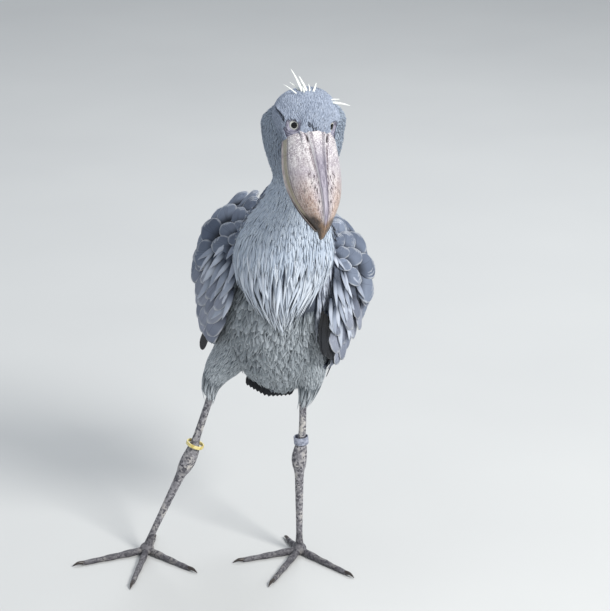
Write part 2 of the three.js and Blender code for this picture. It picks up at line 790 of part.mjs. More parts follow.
function fringe(rows, seed) {
  const shake = dice(seed);
  const skin = limbSkin(rows);
  return Array.from({ length: FRINGE.count }, (_, i) =>
    vane(skin, {
      ...FRINGE,
      t: FRINGE.t + 0.03 * shake(),
      a: (2 * Math.PI * i) / FRINGE.count,
      long: FRINGE.long * (1 + 0.1 * shake()),
      tilt: 8,
    }),
  );
}

const FLOOR = (() => {
  const box = new THREE.BoxGeometry(2000, 2000, 200).translate(0, 0, -100);
  return solidOf(box);
})();

function footPad([x, y], grow = 0) {
  const ball = new THREE.SphereGeometry(1, 12, 8).rotateX(Math.PI / 2);
  ball.scale(17 + grow, 19 + grow, 15 + grow).translate(x, y, 12);
  return solidOf(ball);
}

// A toe runs out from the pad as a row of knuckles that end in a flat sole on the floor.
function toeRows([x, y], angle, reach) {
  const run = vec(Math.sin(radians(angle)), -Math.cos(radians(angle)), 0);
  const knuckles = 7;
  return Array.from({ length: knuckles + 1 }, (_, k) => {
    const t = k / knuckles;
    const swell = k % 2 === 0 ? 1 : 0.86;
    const wide = mix(9, 5.6, t) * swell;
    return [x + run.x * reach * t, y + run.y * reach * t, mix(12, 5.2, Math.sqrt(t)), wide, mix(10, 6, t) * swell];
  });
}

function clawRows([x, y], angle, reach, length) {
  const run = vec(Math.sin(radians(angle)), -Math.cos(radians(angle)), 0);
  return [
    [reach + GAP, 6.4, 4.6, 4.8],
    [reach + length * 0.35, 7.6, 3.7, 3.9],
    [reach + length * 0.7, 5.6, 2.3, 2.4],
    [reach + length, 2.2, 0.6, 0.7],
  ].map(([far, z, wide, deep]) => [x + run.x * far, y + run.y * far, z, wide, deep]);
}

function bandSolid({ at, tilt, radius, wall, tall }) {
  const profile = [
    [radius - wall, -tall / 2],
    [radius, -tall / 2],
    [radius, tall / 2],
    [radius - wall, tall / 2],
    [radius - wall, -tall / 2],
  ].map(([r, z]) => new THREE.Vector2(r, z));
  const band = new THREE.LatheGeometry(profile, 18).rotateX(Math.PI / 2);
  return solidOf(band.rotateY(radians(tilt)).translate(...at));
}

// Trunk, tail, wings, neck and breast
const trunkCutter = trunkSolid(CUT);
const trunkStageCutter = toStage(trunkCutter, trunk);
const headStageCutter = toStage(headSolid(CUT), head);
const billStageCutter = toStage(billClear(1), head);
const plumageClear = toGroup(neckSolid(11), trunk);

// A block that holds all of the stage above a height, for parting the neck from the breast.
function above(height) {
  return solidOf(new THREE.BoxGeometry(2000, 2000, 2000).translate(0, 0, height + 1000));
}

add(trunk, "torso", trunkSolid(), FEATHER_BODY());
const neckCore = minus(neckSolid(), trunkStageCutter);
const neck = neckCore.intersect(above(BREAST_TOP + GAP / 2));
add(legs, "neck", minus(neck, headStageCutter, billStageCutter), FEATHER_PALE());
const breastCore = minus(neckCore, above(BREAST_TOP - GAP / 2));
add(legs, "breast", minus(joined(breastCore, ...breastLocks()), trunkStageCutter), FEATHER_PALE());
const tail = minus(limb(TAIL_ROOT, { rings: 5, sides: 12 }), trunkCutter);
add(trunk, "tail", minus(joined(tail, ...tailFan()), trunkCutter), FEATHER_DARK());

const thighCutters = Object.values(LEGS).map((leg) => toGroup(limb(leg.thigh, { grow: CUT, rings: 6, sides: 14 }), trunk));
const MIRROR = new THREE.Matrix4().makeScale(-1, 1, 1);
for (const [name, leg] of Object.entries(LEGS)) {
  const built = joined(wingCore(), ...wingFeathers(leg.side > 0 ? 11 : 23, leg.side > 0));
  const placed = (leg.side > 0 ? built : built.transform(MIRROR.elements)).translate(0, 0, WING_DROP[name]);
  add(trunk, `wing_${name}`, minus(placed, trunkCutter, plumageClear, ...thighCutters), FEATHER_SLATE());
}

// Head
const bowls = [1, -1].map((side) => hollow(side));
const balls = [1, -1].map((side) => eyeball(side, CUT));
const face = joined(minus(headSolid(), ...bowls), lids(1), lids(-1), ...CREST.map(spike));
add(head, "head", minus(face, ...balls), FEATHER_PALE());
add(head, "bill_upper", minus(billUpper(), headSolid(CUT), nostril(1), nostril(-1)), BILL_HORN());
add(head, "bill_lower", minus(billLower(), headSolid(CUT)), BILL_HORN());
add(head, "eye_left", eyeball(1), EYE_PALE());
add(head, "eye_right", eyeball(-1), EYE_PALE());

// Legs
for (const [name, leg] of Object.entries(LEGS)) {
  const shankCutter = limb(leg.shank, { rings: 8, sides: 10, grow: CUT });
  const thigh = joined(limb(leg.thigh, { rings: 6, sides: 14 }), ...fringe(leg.thigh, leg.side > 0 ? 5 : 6));
  add(legs, `thigh_${name}`, minus(thigh, trunkStageCutter, shankCutter), FEATHER_BODY());
  add(legs, `shank_${name}`, limb(leg.shank, { rings: 8, sides: 10 }), LEG_SKIN());
  const pad = footPad(leg.foot, CUT);
  add(legs, `tarsus_${name}`, minus(limb(leg.tarsus, { rings: 9, sides: 10 }), pad, shankCutter), LEG_SKIN());
  add(legs, `foot_${name}`, minus(footPad(leg.foot), FLOOR), LEG_SKIN());
  const taken = [];
  for (const toe of leg.toes) {
    const rows = toeRows(leg.foot, toe.angle, toe.reach);
    const solid = minus(limb(rows, { rings: 7, sides: 6, fore: vec(0, 0, 1) }), pad, FLOOR, ...taken);
    taken.push(limb(rows, { rings: 7, sides: 6, fore: vec(0, 0, 1), grow: CUT }));
    add(legs, `toe_${name}_${toe.name}`, solid, LEG_SKIN());
    const claw = limb(clawRows(leg.foot, toe.angle, toe.reach, toe.claw), { rings: 3, sides: 5, fore: vec(0, 0, 1) });
    add(legs, `claw_${name}_${toe.name}`, minus(claw, FLOOR, taken.at(-1)), CLAW_HORN());
  }
  add(legs, `leg_ring_${name}`, bandSolid(leg.ring), finish(name === "left" ? "#8d93a8" : "#e3d79a", 0.5));
}

// The part stands on z = 0 with the middle of its bounding box over the origin.
const bird = new THREE.Group();
bird.name = "shoebill";
bird.add(trunk, head, legs);
bird.position.set(...STAGE_SHIFT);

export default bird;
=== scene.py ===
import math

import bpy
import numpy as np
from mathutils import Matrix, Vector


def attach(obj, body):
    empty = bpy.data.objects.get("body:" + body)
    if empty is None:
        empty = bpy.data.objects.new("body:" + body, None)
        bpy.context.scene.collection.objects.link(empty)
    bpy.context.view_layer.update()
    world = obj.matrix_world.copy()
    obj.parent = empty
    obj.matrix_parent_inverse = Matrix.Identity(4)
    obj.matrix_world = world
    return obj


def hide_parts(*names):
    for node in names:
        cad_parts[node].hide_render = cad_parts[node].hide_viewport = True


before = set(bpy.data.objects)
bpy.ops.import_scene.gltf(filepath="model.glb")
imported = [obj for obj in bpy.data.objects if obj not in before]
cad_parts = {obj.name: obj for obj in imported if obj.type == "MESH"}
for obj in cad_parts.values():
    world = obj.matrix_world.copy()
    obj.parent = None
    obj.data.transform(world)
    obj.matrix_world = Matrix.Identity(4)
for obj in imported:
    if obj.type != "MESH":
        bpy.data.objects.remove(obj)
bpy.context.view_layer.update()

# Camera: a long lens five metres in front of the bird, about 1.3 m above its crown, that looks down by 20
# degrees. It stands level, a little to the bird's left.
CAMERA_AT = (0.19032, -5.13896, 2.52968)
CAMERA_PITCH = math.radians(70)  # 90 degrees would look straight ahead
SENSOR_WIDE = 36  # millimetres, as is the lens
LENS = 146.24
camera = bpy.data.objects.new("camera", bpy.data.cameras.new("camera"))
bpy.context.scene.collection.objects.link(camera)
bpy.context.scene.camera = camera
camera.location = CAMERA_AT
camera.rotation_euler = (CAMERA_PITCH, 0, 0)
camera.data.sensor_width = SENSOR_WIDE
camera.data.lens = LENS
bpy.context.scene.view_settings.view_transform = "Standard"


# Studio: a plain pale floor under a soft overcast dome, with a broad lamp high on the bird's left and a
# weaker one behind it. The floor is one large sheet with a matt, slightly clouded surface.
class Line:
    """One socket of a material. An operator on it adds the Math node that works it out."""

    def __init__(self, shop, socket):
        self.shop = shop
        self.socket = socket

    def maths(self, operation, *terms):
        return self.shop.node("ShaderNodeMath", {"operation": operation}, dict(enumerate(terms)))

    def __add__(self, other):
        return self.maths("ADD", self, other)

    def __radd__(self, other):
        return self.maths("ADD", other, self)

    def __sub__(self, other):
        return self.maths("SUBTRACT", self, other)

    def __rsub__(self, other):
        return self.maths("SUBTRACT", other, self)

    def __mul__(self, other):
        return self.maths("MULTIPLY", self, other)

    def __rmul__(self, other):
        return self.maths("MULTIPLY", other, self)

    def __abs__(self):
        return self.maths("ABSOLUTE", self)

    def sine(self):
        return self.maths("SINE", self)

    def least(self, other):
        return self.maths("MINIMUM", self, other)

    def most(self, other):
        return self.maths("MAXIMUM", self, other)

    def step(self, low, high, start=0.0, end=1.0):
        """Turns smoothly from start to end as the value goes from low to high."""
        settings = {"interpolation_type": "SMOOTHSTEP"}
        return self.shop.node("ShaderNodeMapRange", settings, {0: self, 1: low, 2: high, 3: start, 4: end})

    def fall(self, low, high):
        """The reverse of step: 1 below low and 0 above high."""
        return self.step(low, high, 1.0, 0.0)

    def band(self, start, rising, falling, end):
        """1 from rising to falling, and 0 before start and after end."""
        return self.step(start, rising) * self.fall(falling, end)


def linear(colour):
    """A colour written as #rrggbb, as the linear light that a shader takes."""
    if not isinstance(colour, str):
        return colour
    share = np.array([int(colour[i : i + 2], 16) for i in (1, 3, 5)]) / 255
    light = np.where(share > 0.04045, ((share + 0.055) / 1.055) ** 2.4, share / 12.92)
    return (*light.tolist(), 1.0)


class Finish:
    """A material with its Principled shader, and one method that adds any other node."""

    def __init__(self, name, **fixed):
        self.material = bpy.data.materials.new(name)
        self.material.use_nodes = True
        self.tree = self.material.node_tree
        self.shader = self.tree.nodes["Principled BSDF"]
        for socket, value in fixed.items():
            self.shader.inputs[socket.replace("_", " ")].default_value = value

    def node(self, kind, settings=None, values=None, out=0):
        made = self.tree.nodes.new(kind)
        for name, value in (settings or {}).items():
            if name == "stops":
                ramp = made.color_ramp
                while len(ramp.elements) < len(value):
                    ramp.elements.new(1.0)
                for element, (place, colour) in zip(ramp.elements, value):
                    element.position = place
                    element.color = linear(colour)
            else:
                setattr(made, name, value)
        for socket, value in (values or {}).items():
            if isinstance(value, Line):
                self.tree.links.new(value.socket, made.inputs[socket])
            else:
                made.inputs[socket].default_value = linear(value)
        return Line(self, made.outputs[out])

    def place(self):
        return self.node("ShaderNodeTexCoord", out="Object")

    def noise(self, scale, detail=3.0, rough=0.55, at=None):
        values = {"Vector": at or self.place(), "Scale": scale, "Detail": detail, "Roughness": rough}
        return self.node("ShaderNodeTexNoise", {}, values)

    def cells(self, scale, feature="F1", out=0):
        values = {"Vector": self.place(), "Scale": scale}
        return self.node("ShaderNodeTexVoronoi", {"feature": feature}, values, out)

    def scaled(self, vector, factors):
        return self.node("ShaderNodeVectorMath", {"operation": "MULTIPLY"}, {0: vector, 1: factors})

    def part(self, vector, axis):
        """One number of a place on the piece or on a map, by its axis: 0, 1 or 2."""
        return self.node("ShaderNodeSeparateXYZ", {}, {0: vector}, axis)

    def mark(self, title):
        """A number that the mesh holds at each of its points."""
        return self.node("ShaderNodeAttribute", {"attribute_name": title}, out=2)

    def ramp(self, value, *stops):
        return self.node("ShaderNodeValToRGB", {"stops": stops}, {0: value})

    def blend(self, share, first, second):
        values = {"Factor": share, 6: first, 7: second}
        return self.node("ShaderNodeMix", {"data_type": "RGBA"}, values, 2)

    def layered(self, tone, *layers):
        """A tone with colours laid over it one after another, each a pair of its share and the colour."""
        for share, colour in layers:
            tone = self.blend(share, tone, colour)
        return tone

    def bump(self, height, distance):
        return self.node("ShaderNodeBump", {}, {"Height": height, "Distance": distance})

    def feed(self, **sockets):
        for name, value in sockets.items():
            self.tree.links.new(value.socket, self.shader.inputs[name.replace("_", " ")])


def put(name, points, faces, material):
    """A mesh object from points in metres and faces that are rows of three or four corners."""
    mesh = bpy.data.meshes.new(name)
    faces = [np.asarray(block) for block in (faces if isinstance(faces, list) else [faces])]
    corners = np.concatenate([block.ravel() for block in faces])
    sizes = np.concatenate([np.full(len(block), block.shape[1]) for block in faces])
    mesh.vertices.add(len(points))
    mesh.vertices.foreach_set("co", np.asarray(points, np.float32).ravel())
    mesh.loops.add(len(corners))
    mesh.loops.foreach_set("vertex_index", corners.astype(np.int32))
    mesh.polygons.add(len(sizes))
    mesh.polygons.foreach_set("loop_start", np.concatenate([[0], np.cumsum(sizes)[:-1]]).astype(np.int32))
    mesh.polygons.foreach_set("use_smooth", np.full(len(sizes), True))
    mesh.update(calc_edges=True)
    mesh.validate()
    mesh.materials.append(material)
    piece = bpy.data.objects.new(name, mesh)
    bpy.context.scene.collection.objects.link(piece)
    return piece


plaster = Finish("floor_matt", Roughness=0.9)
cloud = plaster.noise(1.3, 2.0)
plaster.feed(Base_Color=plaster.blend(cloud, "#c6c7c6", "#cfd0ce"))
FLOOR_HALF = 14.0
floor_edge = np.array([[-1, -1, 0], [1, -1, 0], [1, 1, 0], [-1, 1, 0]]) * FLOOR_HALF
put("floor", floor_edge, np.array([[0, 1, 2, 3]]), plaster.material)

world = bpy.data.worlds.new("overcast")
bpy.context.scene.world = world
world.use_nodes = True
dome = world.node_tree.nodes["Background"]
dome.inputs["Color"].default_value = (0.88, 0.93, 1.0, 1)
dome.inputs["Strength"].default_value = 0.62


def lamp(name, at, aim, size, power, colour):
    """A round soft lamp of a width in metres and a power in watts, turned from its place to its aim."""
    light = bpy.data.lights.new(name, "AREA")
    light.shape = "DISK"
    light.size = size
    light.energy = power
    light.color = colour
    holder = bpy.data.objects.new(name, light)
    bpy.context.scene.collection.objects.link(holder)
    holder.location = at
    way = Vector(aim) - Vector(at)
    holder.rotation_euler = way.to_track_quat("-Z", "Y").to_euler()


lamp("key", (3.2, -3.2, 3.9), (0, -0.1, 0.8), 1.8, 310, (1.0, 0.985, 0.96))
lamp("back", (1.2, 3.4, 4.2), (0, 0, 0.8), 2.0, 90, (0.95, 0.97, 1.0))


# Trunk: the body's barrel, leaned over the standing leg. Its skin lies a coat's depth inside the plumage.
# Sizes are millimetres in the trunk's own frame, as [height, half-width, front, back, middle], from the
# top down. The stage's origin is the left sole, and the row frame's is the middle of the whole bird.
STAGE_SHIFT = np.array([177.0, 118.0, 0.0])


def placed(points, origin=(0, 0, 0), axes=np.eye(3)):
    """Points of a piece's own frame, in millimetres, as places in the row frame, in metres."""
    return (points @ np.asarray(axes).T + np.asarray(origin) + STAGE_SHIFT) / 1000


def along(rows, t):
    """The Catmull-Rom curve through rows of numbers, for an array of t from 0 to 1."""
    last = len(rows) - 1
    s = np.clip(t, 0, 1) * last
    i = np.minimum(np.floor(s).astype(int), last - 1)
    f = (s - i)[..., None]
    a, b, c, d = (rows[np.clip(i + k, 0, last)] for k in (-1, 0, 1, 2))
    return 0.5 * (2 * b + (c - a) * f + (2 * a - 5 * b + 4 * c - d) * f**2 + (3 * b - a - 3 * c + d) * f**3)


class Form:
    """A body form that plumage can grow on: spot gives the place of its skin at t, a, and middle the place
    that its skin faces away from. On one whose facing is -1 the skin faces its middle."""

    facing = 1

    def __init__(self, rows, origin=(0, 0, 0), axes=np.eye(3)):
        self.rows = np.array(rows, float)
        self.origin = np.array(origin, float)
        self.axes = np.array(axes, float)

    def placed(self, *local):
        return placed(np.stack(local, -1), self.origin, self.axes)

    def closed(self, grow, rings, sides):
        """The form as a closed grid of rings, grown outwards by grow."""
        t = np.linspace(0, 1, rings)[:, None]
        a = np.linspace(0, 2 * np.pi, sides, endpoint=False)[None, :]
        return self.spot(t + 0 * a, a + 0 * t, grow)


class Barrel(Form):
    """A form of level ovals, its rows [level, side, deep, half-width, half-depth before, behind].
    At t, a its skin is the oval's middle + side axis * width * cos a + deep axis * depth * sin a."""

    def spot(self, t, a, grow=0.0):
        level, side, deep, wide, before, behind = np.moveaxis(along(self.rows, t), -1, 0)
        depth = np.where(np.sin(a) > 0, behind, before) + grow
        return self.placed(side + (wide + grow) * np.cos(a), deep + depth * np.sin(a), level)

    def middle(self, t):
        level, side, deep = np.moveaxis(along(self.rows, t), -1, 0)[:3]
        return self.placed(side, deep, level)

    def holds(self, points, margin=0.0):
        """True for each point, in metres, that is inside the form by more than margin millimetres."""
        x, y, z = np.moveaxis((points * 1000 - STAGE_SHIFT - self.origin) @ self.axes, -1, 0)
        table = along(self.rows, np.linspace(0, 1, 400))
        level, *columns = table[np.argsort(table[:, 0])].T
        side, deep, wide, before, behind = (np.interp(z, level, column) for column in columns)
        depth = np.where(y > deep, behind, before) - margin
        out = ((x - side) / np.maximum(wide - margin, 1)) ** 2 + ((y - deep) / np.maximum(depth, 1)) ** 2
        return (out < 1) & (z > level[0] + margin) & (z < level[-1] - margin)

    def closed(self, grow, rings, sides):
        """The form as a closed grid of rings, its two ends moved out by grow."""
        grid = super().closed(grow, rings, sides)
        way = np.sign(self.rows[0, 0] - self.rows[-1, 0]) * self.axes[:, 2] * grow / 1000
        grid[0] += way
        grid[-1] -= way
        return grid


TRUNK_AT = (-52, 0, 600)
LEAN = 10  # degrees over the bird's left leg


def leaned(angle):
    """The axes of a piece that leans to the bird's left by an angle in degrees."""
    sine, cosine = math.sin(math.radians(angle)), math.cos(math.radians(angle))
    return np.array([[cosine, 0, sine], [0, 1, 0], [-sine, 0, cosine]])


TRUNK_AXES = leaned(LEAN)
TRUNK_SLICES = [
    [304, 26, -120, -62, 0],
    [286, 62, -140, -36, 0],
    [250, 88, -158, 20, 0],
    [200, 108, -176, 72, 0],
    [140, 120, -186, 114, 0],
    [75, 126, -187, 144, 0],
    [10, 127, -177, 164, 0],
    [-50, 122, -154, 173, 2],
    [-100, 108, -122, 168, 8],
    [-140, 86, -84, 152, 18],
    [-172, 54, -40, 126, 30],
    [-190, 20, 10, 84, 38],
]
trunk_rows = [[z, m, (f + b) / 2, w, (b - f) / 2, (b - f) / 2] for z, w, f, b, m in TRUNK_SLICES]
trunk = Barrel(trunk_rows, TRUNK_AT, TRUNK_AXES)

# Neck and breast: one soft column from the cheeks down to the hanging bib.
# Rows are [x, y, height, half-width, front half-depth, back half-depth].
NECK_SLICES = [
    [18, -256, 1160, 60, 34, 46],
    [11, -240, 1125, 88, 50, 56],
    [9, -236, 1092, 88, 54, 58],
    [9, -236, 1058, 83, 52, 56],
    [8, -232, 1022, 72, 46, 54],
    [2, -224, 985, 58, 44, 60],
    [-6, -208, 948, 68, 50, 78],
    [-14, -190, 912, 78, 58, 100],
    [-24, -174, 874, 92, 70, 110],
    [-30, -162, 832, 104, 82, 98],
    [-34, -154, 786, 107, 88, 66],
    [-38, -148, 738, 93, 84, 42],
    [-42, -150, 692, 62, 66, 30],
    [-40, -160, 652, 28, 34, 12],
]
neck = Barrel([[z, x, y, w, f, b] for x, y, z, w, f, b in NECK_SLICES])

# Head: a broad skull with a flat cap, pitched down so that it looks along the bill.
# Rows are [distance forward of the eyes, half-width, top, bottom].
HEAD_AT = (27, -300, 1120)
PITCH, TURN, TILT = np.radians((51.4, 11.3, 12.5))  # down, to its left, and over to its right
forward = np.array([math.cos(PITCH) * math.sin(TURN), -math.cos(PITCH) * math.cos(TURN), -math.sin(PITCH)])
level_left = np.array([math.cos(TURN), math.sin(TURN), 0])
left = level_left * math.cos(TILT) - np.cross(forward, level_left) * math.sin(TILT)
up = np.cross(left, -forward)
HEAD_AXES = np.stack([left, -forward, up], 1)
SKULL_AXES = np.stack([left, up, forward], 1)
HEAD_SLICES = [
    [-95, 7, -13, -27],
    [-82, 46, 20, -58],
    [-62, 64, 38, -76],
    [-38, 71, 48, -84],
    [-14, 67, 49, -76],
    [4, 61, 42, -67],
    [18, 58.5, 29.5, -61],
    [26, 53, 18, -57],
]
WIDEST = 0.42  # the share of the head's height at which it is widest
skull_rows = []
for ahead, wide, top, bottom in HEAD_SLICES:
    centre = bottom + WIDEST * (top - bottom)
    skull_rows.append([ahead, 0, centre, wide, centre - bottom, top - centre])
LORES = 6  # how much further forward the feathers reach at the sides of the bill
SOCKET_AT = (43, -2)  # sideways and back to the hollow that each eye lies in
SOCKET_HALF = (12, 17)
SOCKET_DEEP = 9
CAP_EDGE = (7, 6, 2.6)  # the swelling of the cap's edge: its height over the line below, half-width, height
CREASE = (-1, 3.2, 4.2)  # and the crease under it
CREASE_BACK = [2, 9, 15, 29, 45, 60]
CREASE_HIGH = [-3, -1, 3.5, -2.7, -14.8, -24]  # how high the crease under the cap's edge is there


class Skull(Barrel):
    """The head's form: ovals whose front edge reaches further forward at the sides by LORES cos^2 a, with
    a hollow round each eye and a crease behind it, both bell curves of the distance from their middle."""

    def spot(self, t, a, grow=0.0):
        level, side, centre, wide, before, behind = np.moveaxis(along(self.rows, t), -1, 0)
        x, z = np.cos(a), np.sin(a)
        back = -level
        flank = (wide + grow) * np.abs(x)
        high = centre + (np.where(z > 0, behind, before) + grow) * z
        from_socket = ((flank - SOCKET_AT[0]) / SOCKET_HALF[0]) ** 2
        from_socket = from_socket + ((back - SOCKET_AT[1]) / SOCKET_HALF[1]) ** 2
        hollow = SOCKET_DEEP * np.exp(-from_socket) * (z > -0.2)
        fold = high - np.interp(back, CREASE_BACK, CREASE_HIGH)
        reach = np.interp(back, [4, 12, 46, 60], [0, 1, 1, 0])
        edge, crease = (deep * np.exp(-(((fold - at) / half) ** 2)) for at, half, deep in (CAP_EDGE, CREASE))
        flank = flank + (edge - crease) * reach - hollow * np.abs(x)
        high = high - hollow * z
        level = level + LORES * np.clip(t, 0, 1) ** 8 * x**2
        return self.placed(side + flank * np.sign(x), high, level)


skull = Skull(skull_rows, HEAD_AT, SKULL_AXES)


def in_head(points):
    """Points of the head's frame (its left, back and crown) as places in the row frame."""
    return placed(np.asarray(points, float), HEAD_AT, HEAD_AXES)


def from_head(points):
    """Places in the row frame as points of the head's frame."""
    return (points * 1000 - STAGE_SHIFT - np.array(HEAD_AT)) @ HEAD_AXES


def unit(vectors):
    return vectors / np.linalg.norm(vectors, axis=-1, keepdims=True)


# Thighs and tail root: soft limbs under the plumage, each a form carried along a curve through its rows,
# [x, y, height, half-width, half-depth].
class Limb(Form):
    """A form carried along a curve. Its half-width lies square to the run and to the line fore."""

    def __init__(self, rows, fore=(0, -1, 0), origin=(0, 0, 0), axes=np.eye(3)):
        super().__init__(rows, origin, axes)
        self.fore = np.array(fore, float)

    def spot(self, t, a, grow=0.0):
        step = 0.01
        wide, deep = np.moveaxis(along(self.rows, t), -1, 0)[3:]
        run = along(self.rows, np.minimum(t + step, 1)) - along(self.rows, np.maximum(t - step, 0))
        run = unit(run[..., :3])
        side = unit(np.cross(run, self.fore))
        front = unit(np.cross(side, run))
        local = along(self.rows, t)[..., :3]
        local = local + side * ((wide + grow) * np.cos(a))[..., None]
        local = local + front * ((deep + grow) * np.sin(a))[..., None]
        local = local + run * (np.where(t <= 0, -grow, np.where(t >= 1, grow, 0)))[..., None]
        return placed(local, self.origin, self.axes)

    def middle(self, t):
        return placed(along(self.rows, t)[..., :3], self.origin, self.axes)


THIGHS = {
    "left": [
        [10, -10, 565, 60, 78],
        [18, -14, 505, 54, 70],
        [24, -10, 455, 40, 50],
        [20, -4, 412, 25, 30],
        [11, -1, 380, 12, 14],
    ],
    "right": [
        [-118, -6, 560, 62, 76],
        [-150, -10, 508, 50, 66],
        [-182, -10, 466, 38, 50],
        [-200, -6, 428, 24, 30],
        [-203, -1, 396, 12, 14],
    ],
}
thigh = {name: Limb(rows) for name, rows in THIGHS.items()}
TAIL_ROOT = [
    [0, 100, -40, 40, 34],
    [0, 146, -92, 40, 26],
    [-1, 180, -146, 36, 12],
    [-2, 200, -190, 30, 4],
]
tail_root = Limb(TAIL_ROOT, origin=TRUNK_AT, axes=TRUNK_AXES)

# Wing sheet: each folded wing is a curved sheet from the bib's side to the rump, as level rows
# [height, front edge out and back, bulge out and back, rear edge out and back, half-thickness].
WING_SLICES = [
    [238, 80, -50, 112, 0, 92, 60, 5],
    [212, 92, -95, 148, -20, 124, 100, 11],
    [170, 102, -130, 190, -50, 156, 122, 15],
    [120, 108, -142, 208, -50, 164, 132, 16],
    [70, 112, -138, 208, -40, 164, 134, 14],
    [20, 118, -122, 196, -30, 160, 130, 12],
    [-25, 126, -98, 184, -15, 154, 118, 9],
    [-60, 130, -70, 166, 0, 148, 100, 6],
    [-82, 130, -40, 148, 15, 142, 70, 3.5],
]
WING_DROP = {"left": -16, "right": 0}


class Wing(Form):
    """A folded wing. Its middle is a quadratic Bezier across each row, (1-c)^2 p + 2c(1-c) q + c^2 r, and
    a face lies off it by the row's thickness times a taper, EDGE_SHARE + (1 - EDGE_SHARE) sin(pi c)."""

    EDGE_SHARE = 0.28

    def __init__(self, name, face=1.0, inset=0.0, facing=1):
        super().__init__(WING_SLICES, TRUNK_AT, TRUNK_AXES)
        self.side = 1 if name == "left" else -1
        self.drop = WING_DROP[name]
        self.face = face
        self.inset = inset
        self.facing = facing

    def sheet(self, t, c):
        row = along(self.rows, t)
        p, q, r = (np.moveaxis(row[..., i : i + 2], -1, 0) for i in (1, 3, 5))
        return np.stack([*((1 - c) ** 2 * p + 2 * c * (1 - c) * q + c * c * r), row[..., 0]], -1)

    def spot(self, t, c, grow=0.0):
        e = 1e-3
        inside = np.clip(t, e, 1 - e)
        down = self.sheet(inside + e, c) - self.sheet(inside - e, c)
        across = self.sheet(inside, c + e) - self.sheet(inside, c - e)
        out = unit(np.cross(down, across))
        taper = self.EDGE_SHARE + (1 - self.EDGE_SHARE) * np.sin(np.pi * np.clip(c, 0, 1))
        thick = along(self.rows, t)[..., 7] * taper * self.face + (grow - self.inset) * np.sign(self.face)
        local = self.sheet(t, c) + out * thick[..., None]
        local = local * np.array([self.side, 1, 1]) + np.array([0, 0, self.drop])
        return placed(local, self.origin, self.axes)

    def middle(self, t):
        return self.placed(0 * t, 0 * t, along(self.rows, t)[..., 0] + self.drop)

    def closed(self, grow, rings, sides):
        """Both faces as one closed grid: the outer face from front to rear, then back along the inner."""
        t = np.linspace(0, 1, rings)[:, None]
        c = np.linspace(0, 1, sides)[None, :]
        outer = self.spot(t + 0 * c, c + 0 * t, grow)
        self.face, kept = -self.face, self.face
        inner = self.spot(t + 0 * c, c + 0 * t, grow)[:, ::-1]
        self.face = kept
        return np.concatenate([outer, inner], 1)


# Skin: one closed hide under all the plumage, from the crown to the ends of the thighs.
# The forms are fused by a fine voxel remesh and relaxed, and a bowl is pressed in for each eye.
# How far each form shrinks for its coat, and how far a wing's two faces move in.
COAT_DEPTH = {"trunk": -9, "neck": -5, "skull": -2.6, "thigh": -6, "tail": -4}
WING_INSET = 3


def tube_faces(rings, sides):
    """The walls and the two fan ends of a grid of rings. The middles of the ends follow the grid."""
    j, i = np.meshgrid(np.arange(rings - 1), np.arange(sides), indexing="ij")
    a = (j * sides + i).ravel()
    b = (j * sides + (i + 1) % sides).ravel()
    walls = np.stack([a, b, b + sides, a + sides], 1)
    i = np.arange(sides)
    top = (rings - 1) * sides
    first = np.stack([np.full(sides, rings * sides), (i + 1) % sides, i], 1)
    last = np.stack([np.full(sides, rings * sides + 1), top + i, top + (i + 1) % sides], 1)
    return [walls, np.concatenate([first, last])]


def tube(grid):
    """A closed form from a grid of rings: its points, with the middle of each end, and its faces, which
    are turned outwards by the sign of the volume that they close."""
    points = np.concatenate([grid.reshape(-1, 3), grid[:1].mean(1), grid[-1:].mean(1)])
    walls, ends = tube_faces(*grid.shape[:2])
    volume = 0.0
    for a, b, c in (walls[:, (0, 1, 2)].T, walls[:, (0, 2, 3)].T, ends.T):
        volume += np.einsum("ij,ij->i", points[a], np.cross(points[b], points[c])).sum()
    if volume < 0:
        walls, ends = walls[:, ::-1], ends[:, ::-1]
    return points, [walls, ends]


def gathered(parts):
    """Several closed forms as one list of points and faces."""
    points, walls, ends, count = [], [], [], 0
    for spots, (wall, end) in parts:
        points.append(spots)
        walls.append(wall + count)
        ends.append(end + count)
        count += len(spots)
    return np.concatenate(points), [np.concatenate(walls), np.concatenate(ends)]


def fused(name, parts, voxel, relax, material):
    """Closed forms made one skin by a voxel remesh, smoothed relax times."""
    rough = put(name, *gathered(parts), material)
    remesh = rough.modifiers.new("fuse", "REMESH")
    remesh.mode = "VOXEL"
    remesh.voxel_size = voxel
    remesh.use_smooth_shade = True
    soften = rough.modifiers.new("soften", "SMOOTH")
    soften.factor = 0.5
    soften.iterations = relax
    bpy.context.view_layer.update()
    made = bpy.data.meshes.new_from_object(rough.evaluated_get(bpy.context.evaluated_depsgraph_get()))
    rough.modifiers.clear()
    old = rough.data
    rough.data = made
    bpy.data.meshes.remove(old)
    made.name = name
    return rough


def reshaped(piece, change):
    """Moves the points of a piece to the places that the function change gives them."""
    spots = np.zeros(len(piece.data.vertices) * 3)
    piece.data.vertices.foreach_get("co", spots)
    piece.data.vertices.foreach_set("co", change(spots.reshape(-1, 3)).ravel())
    piece.data.update()


# Places and ways are in the head's frame, for the left eye.
EYE_RADIUS = 15.5
EYE_DEEP = 1.8  # how far the ball lies behind the middle of its lids
EYE_LOOK = unit(np.array([0.66, -0.45, 0.60]))
EYE_AT = np.array([35.5, 4.0, -1.0])
BROW_SIDE = np.array([-0.3, 0.75, 0.66])  # the way from the left eye to its brow
GAZE = unit(np.array([0.56, -0.49, 0.66]))
EYE_SIDES = {"left": 1, "right": -1}
BOWL_OUT = 21  # from the eye's middle to the middle of the bowl that is pressed in for it
BOWL_RADIUS = 15


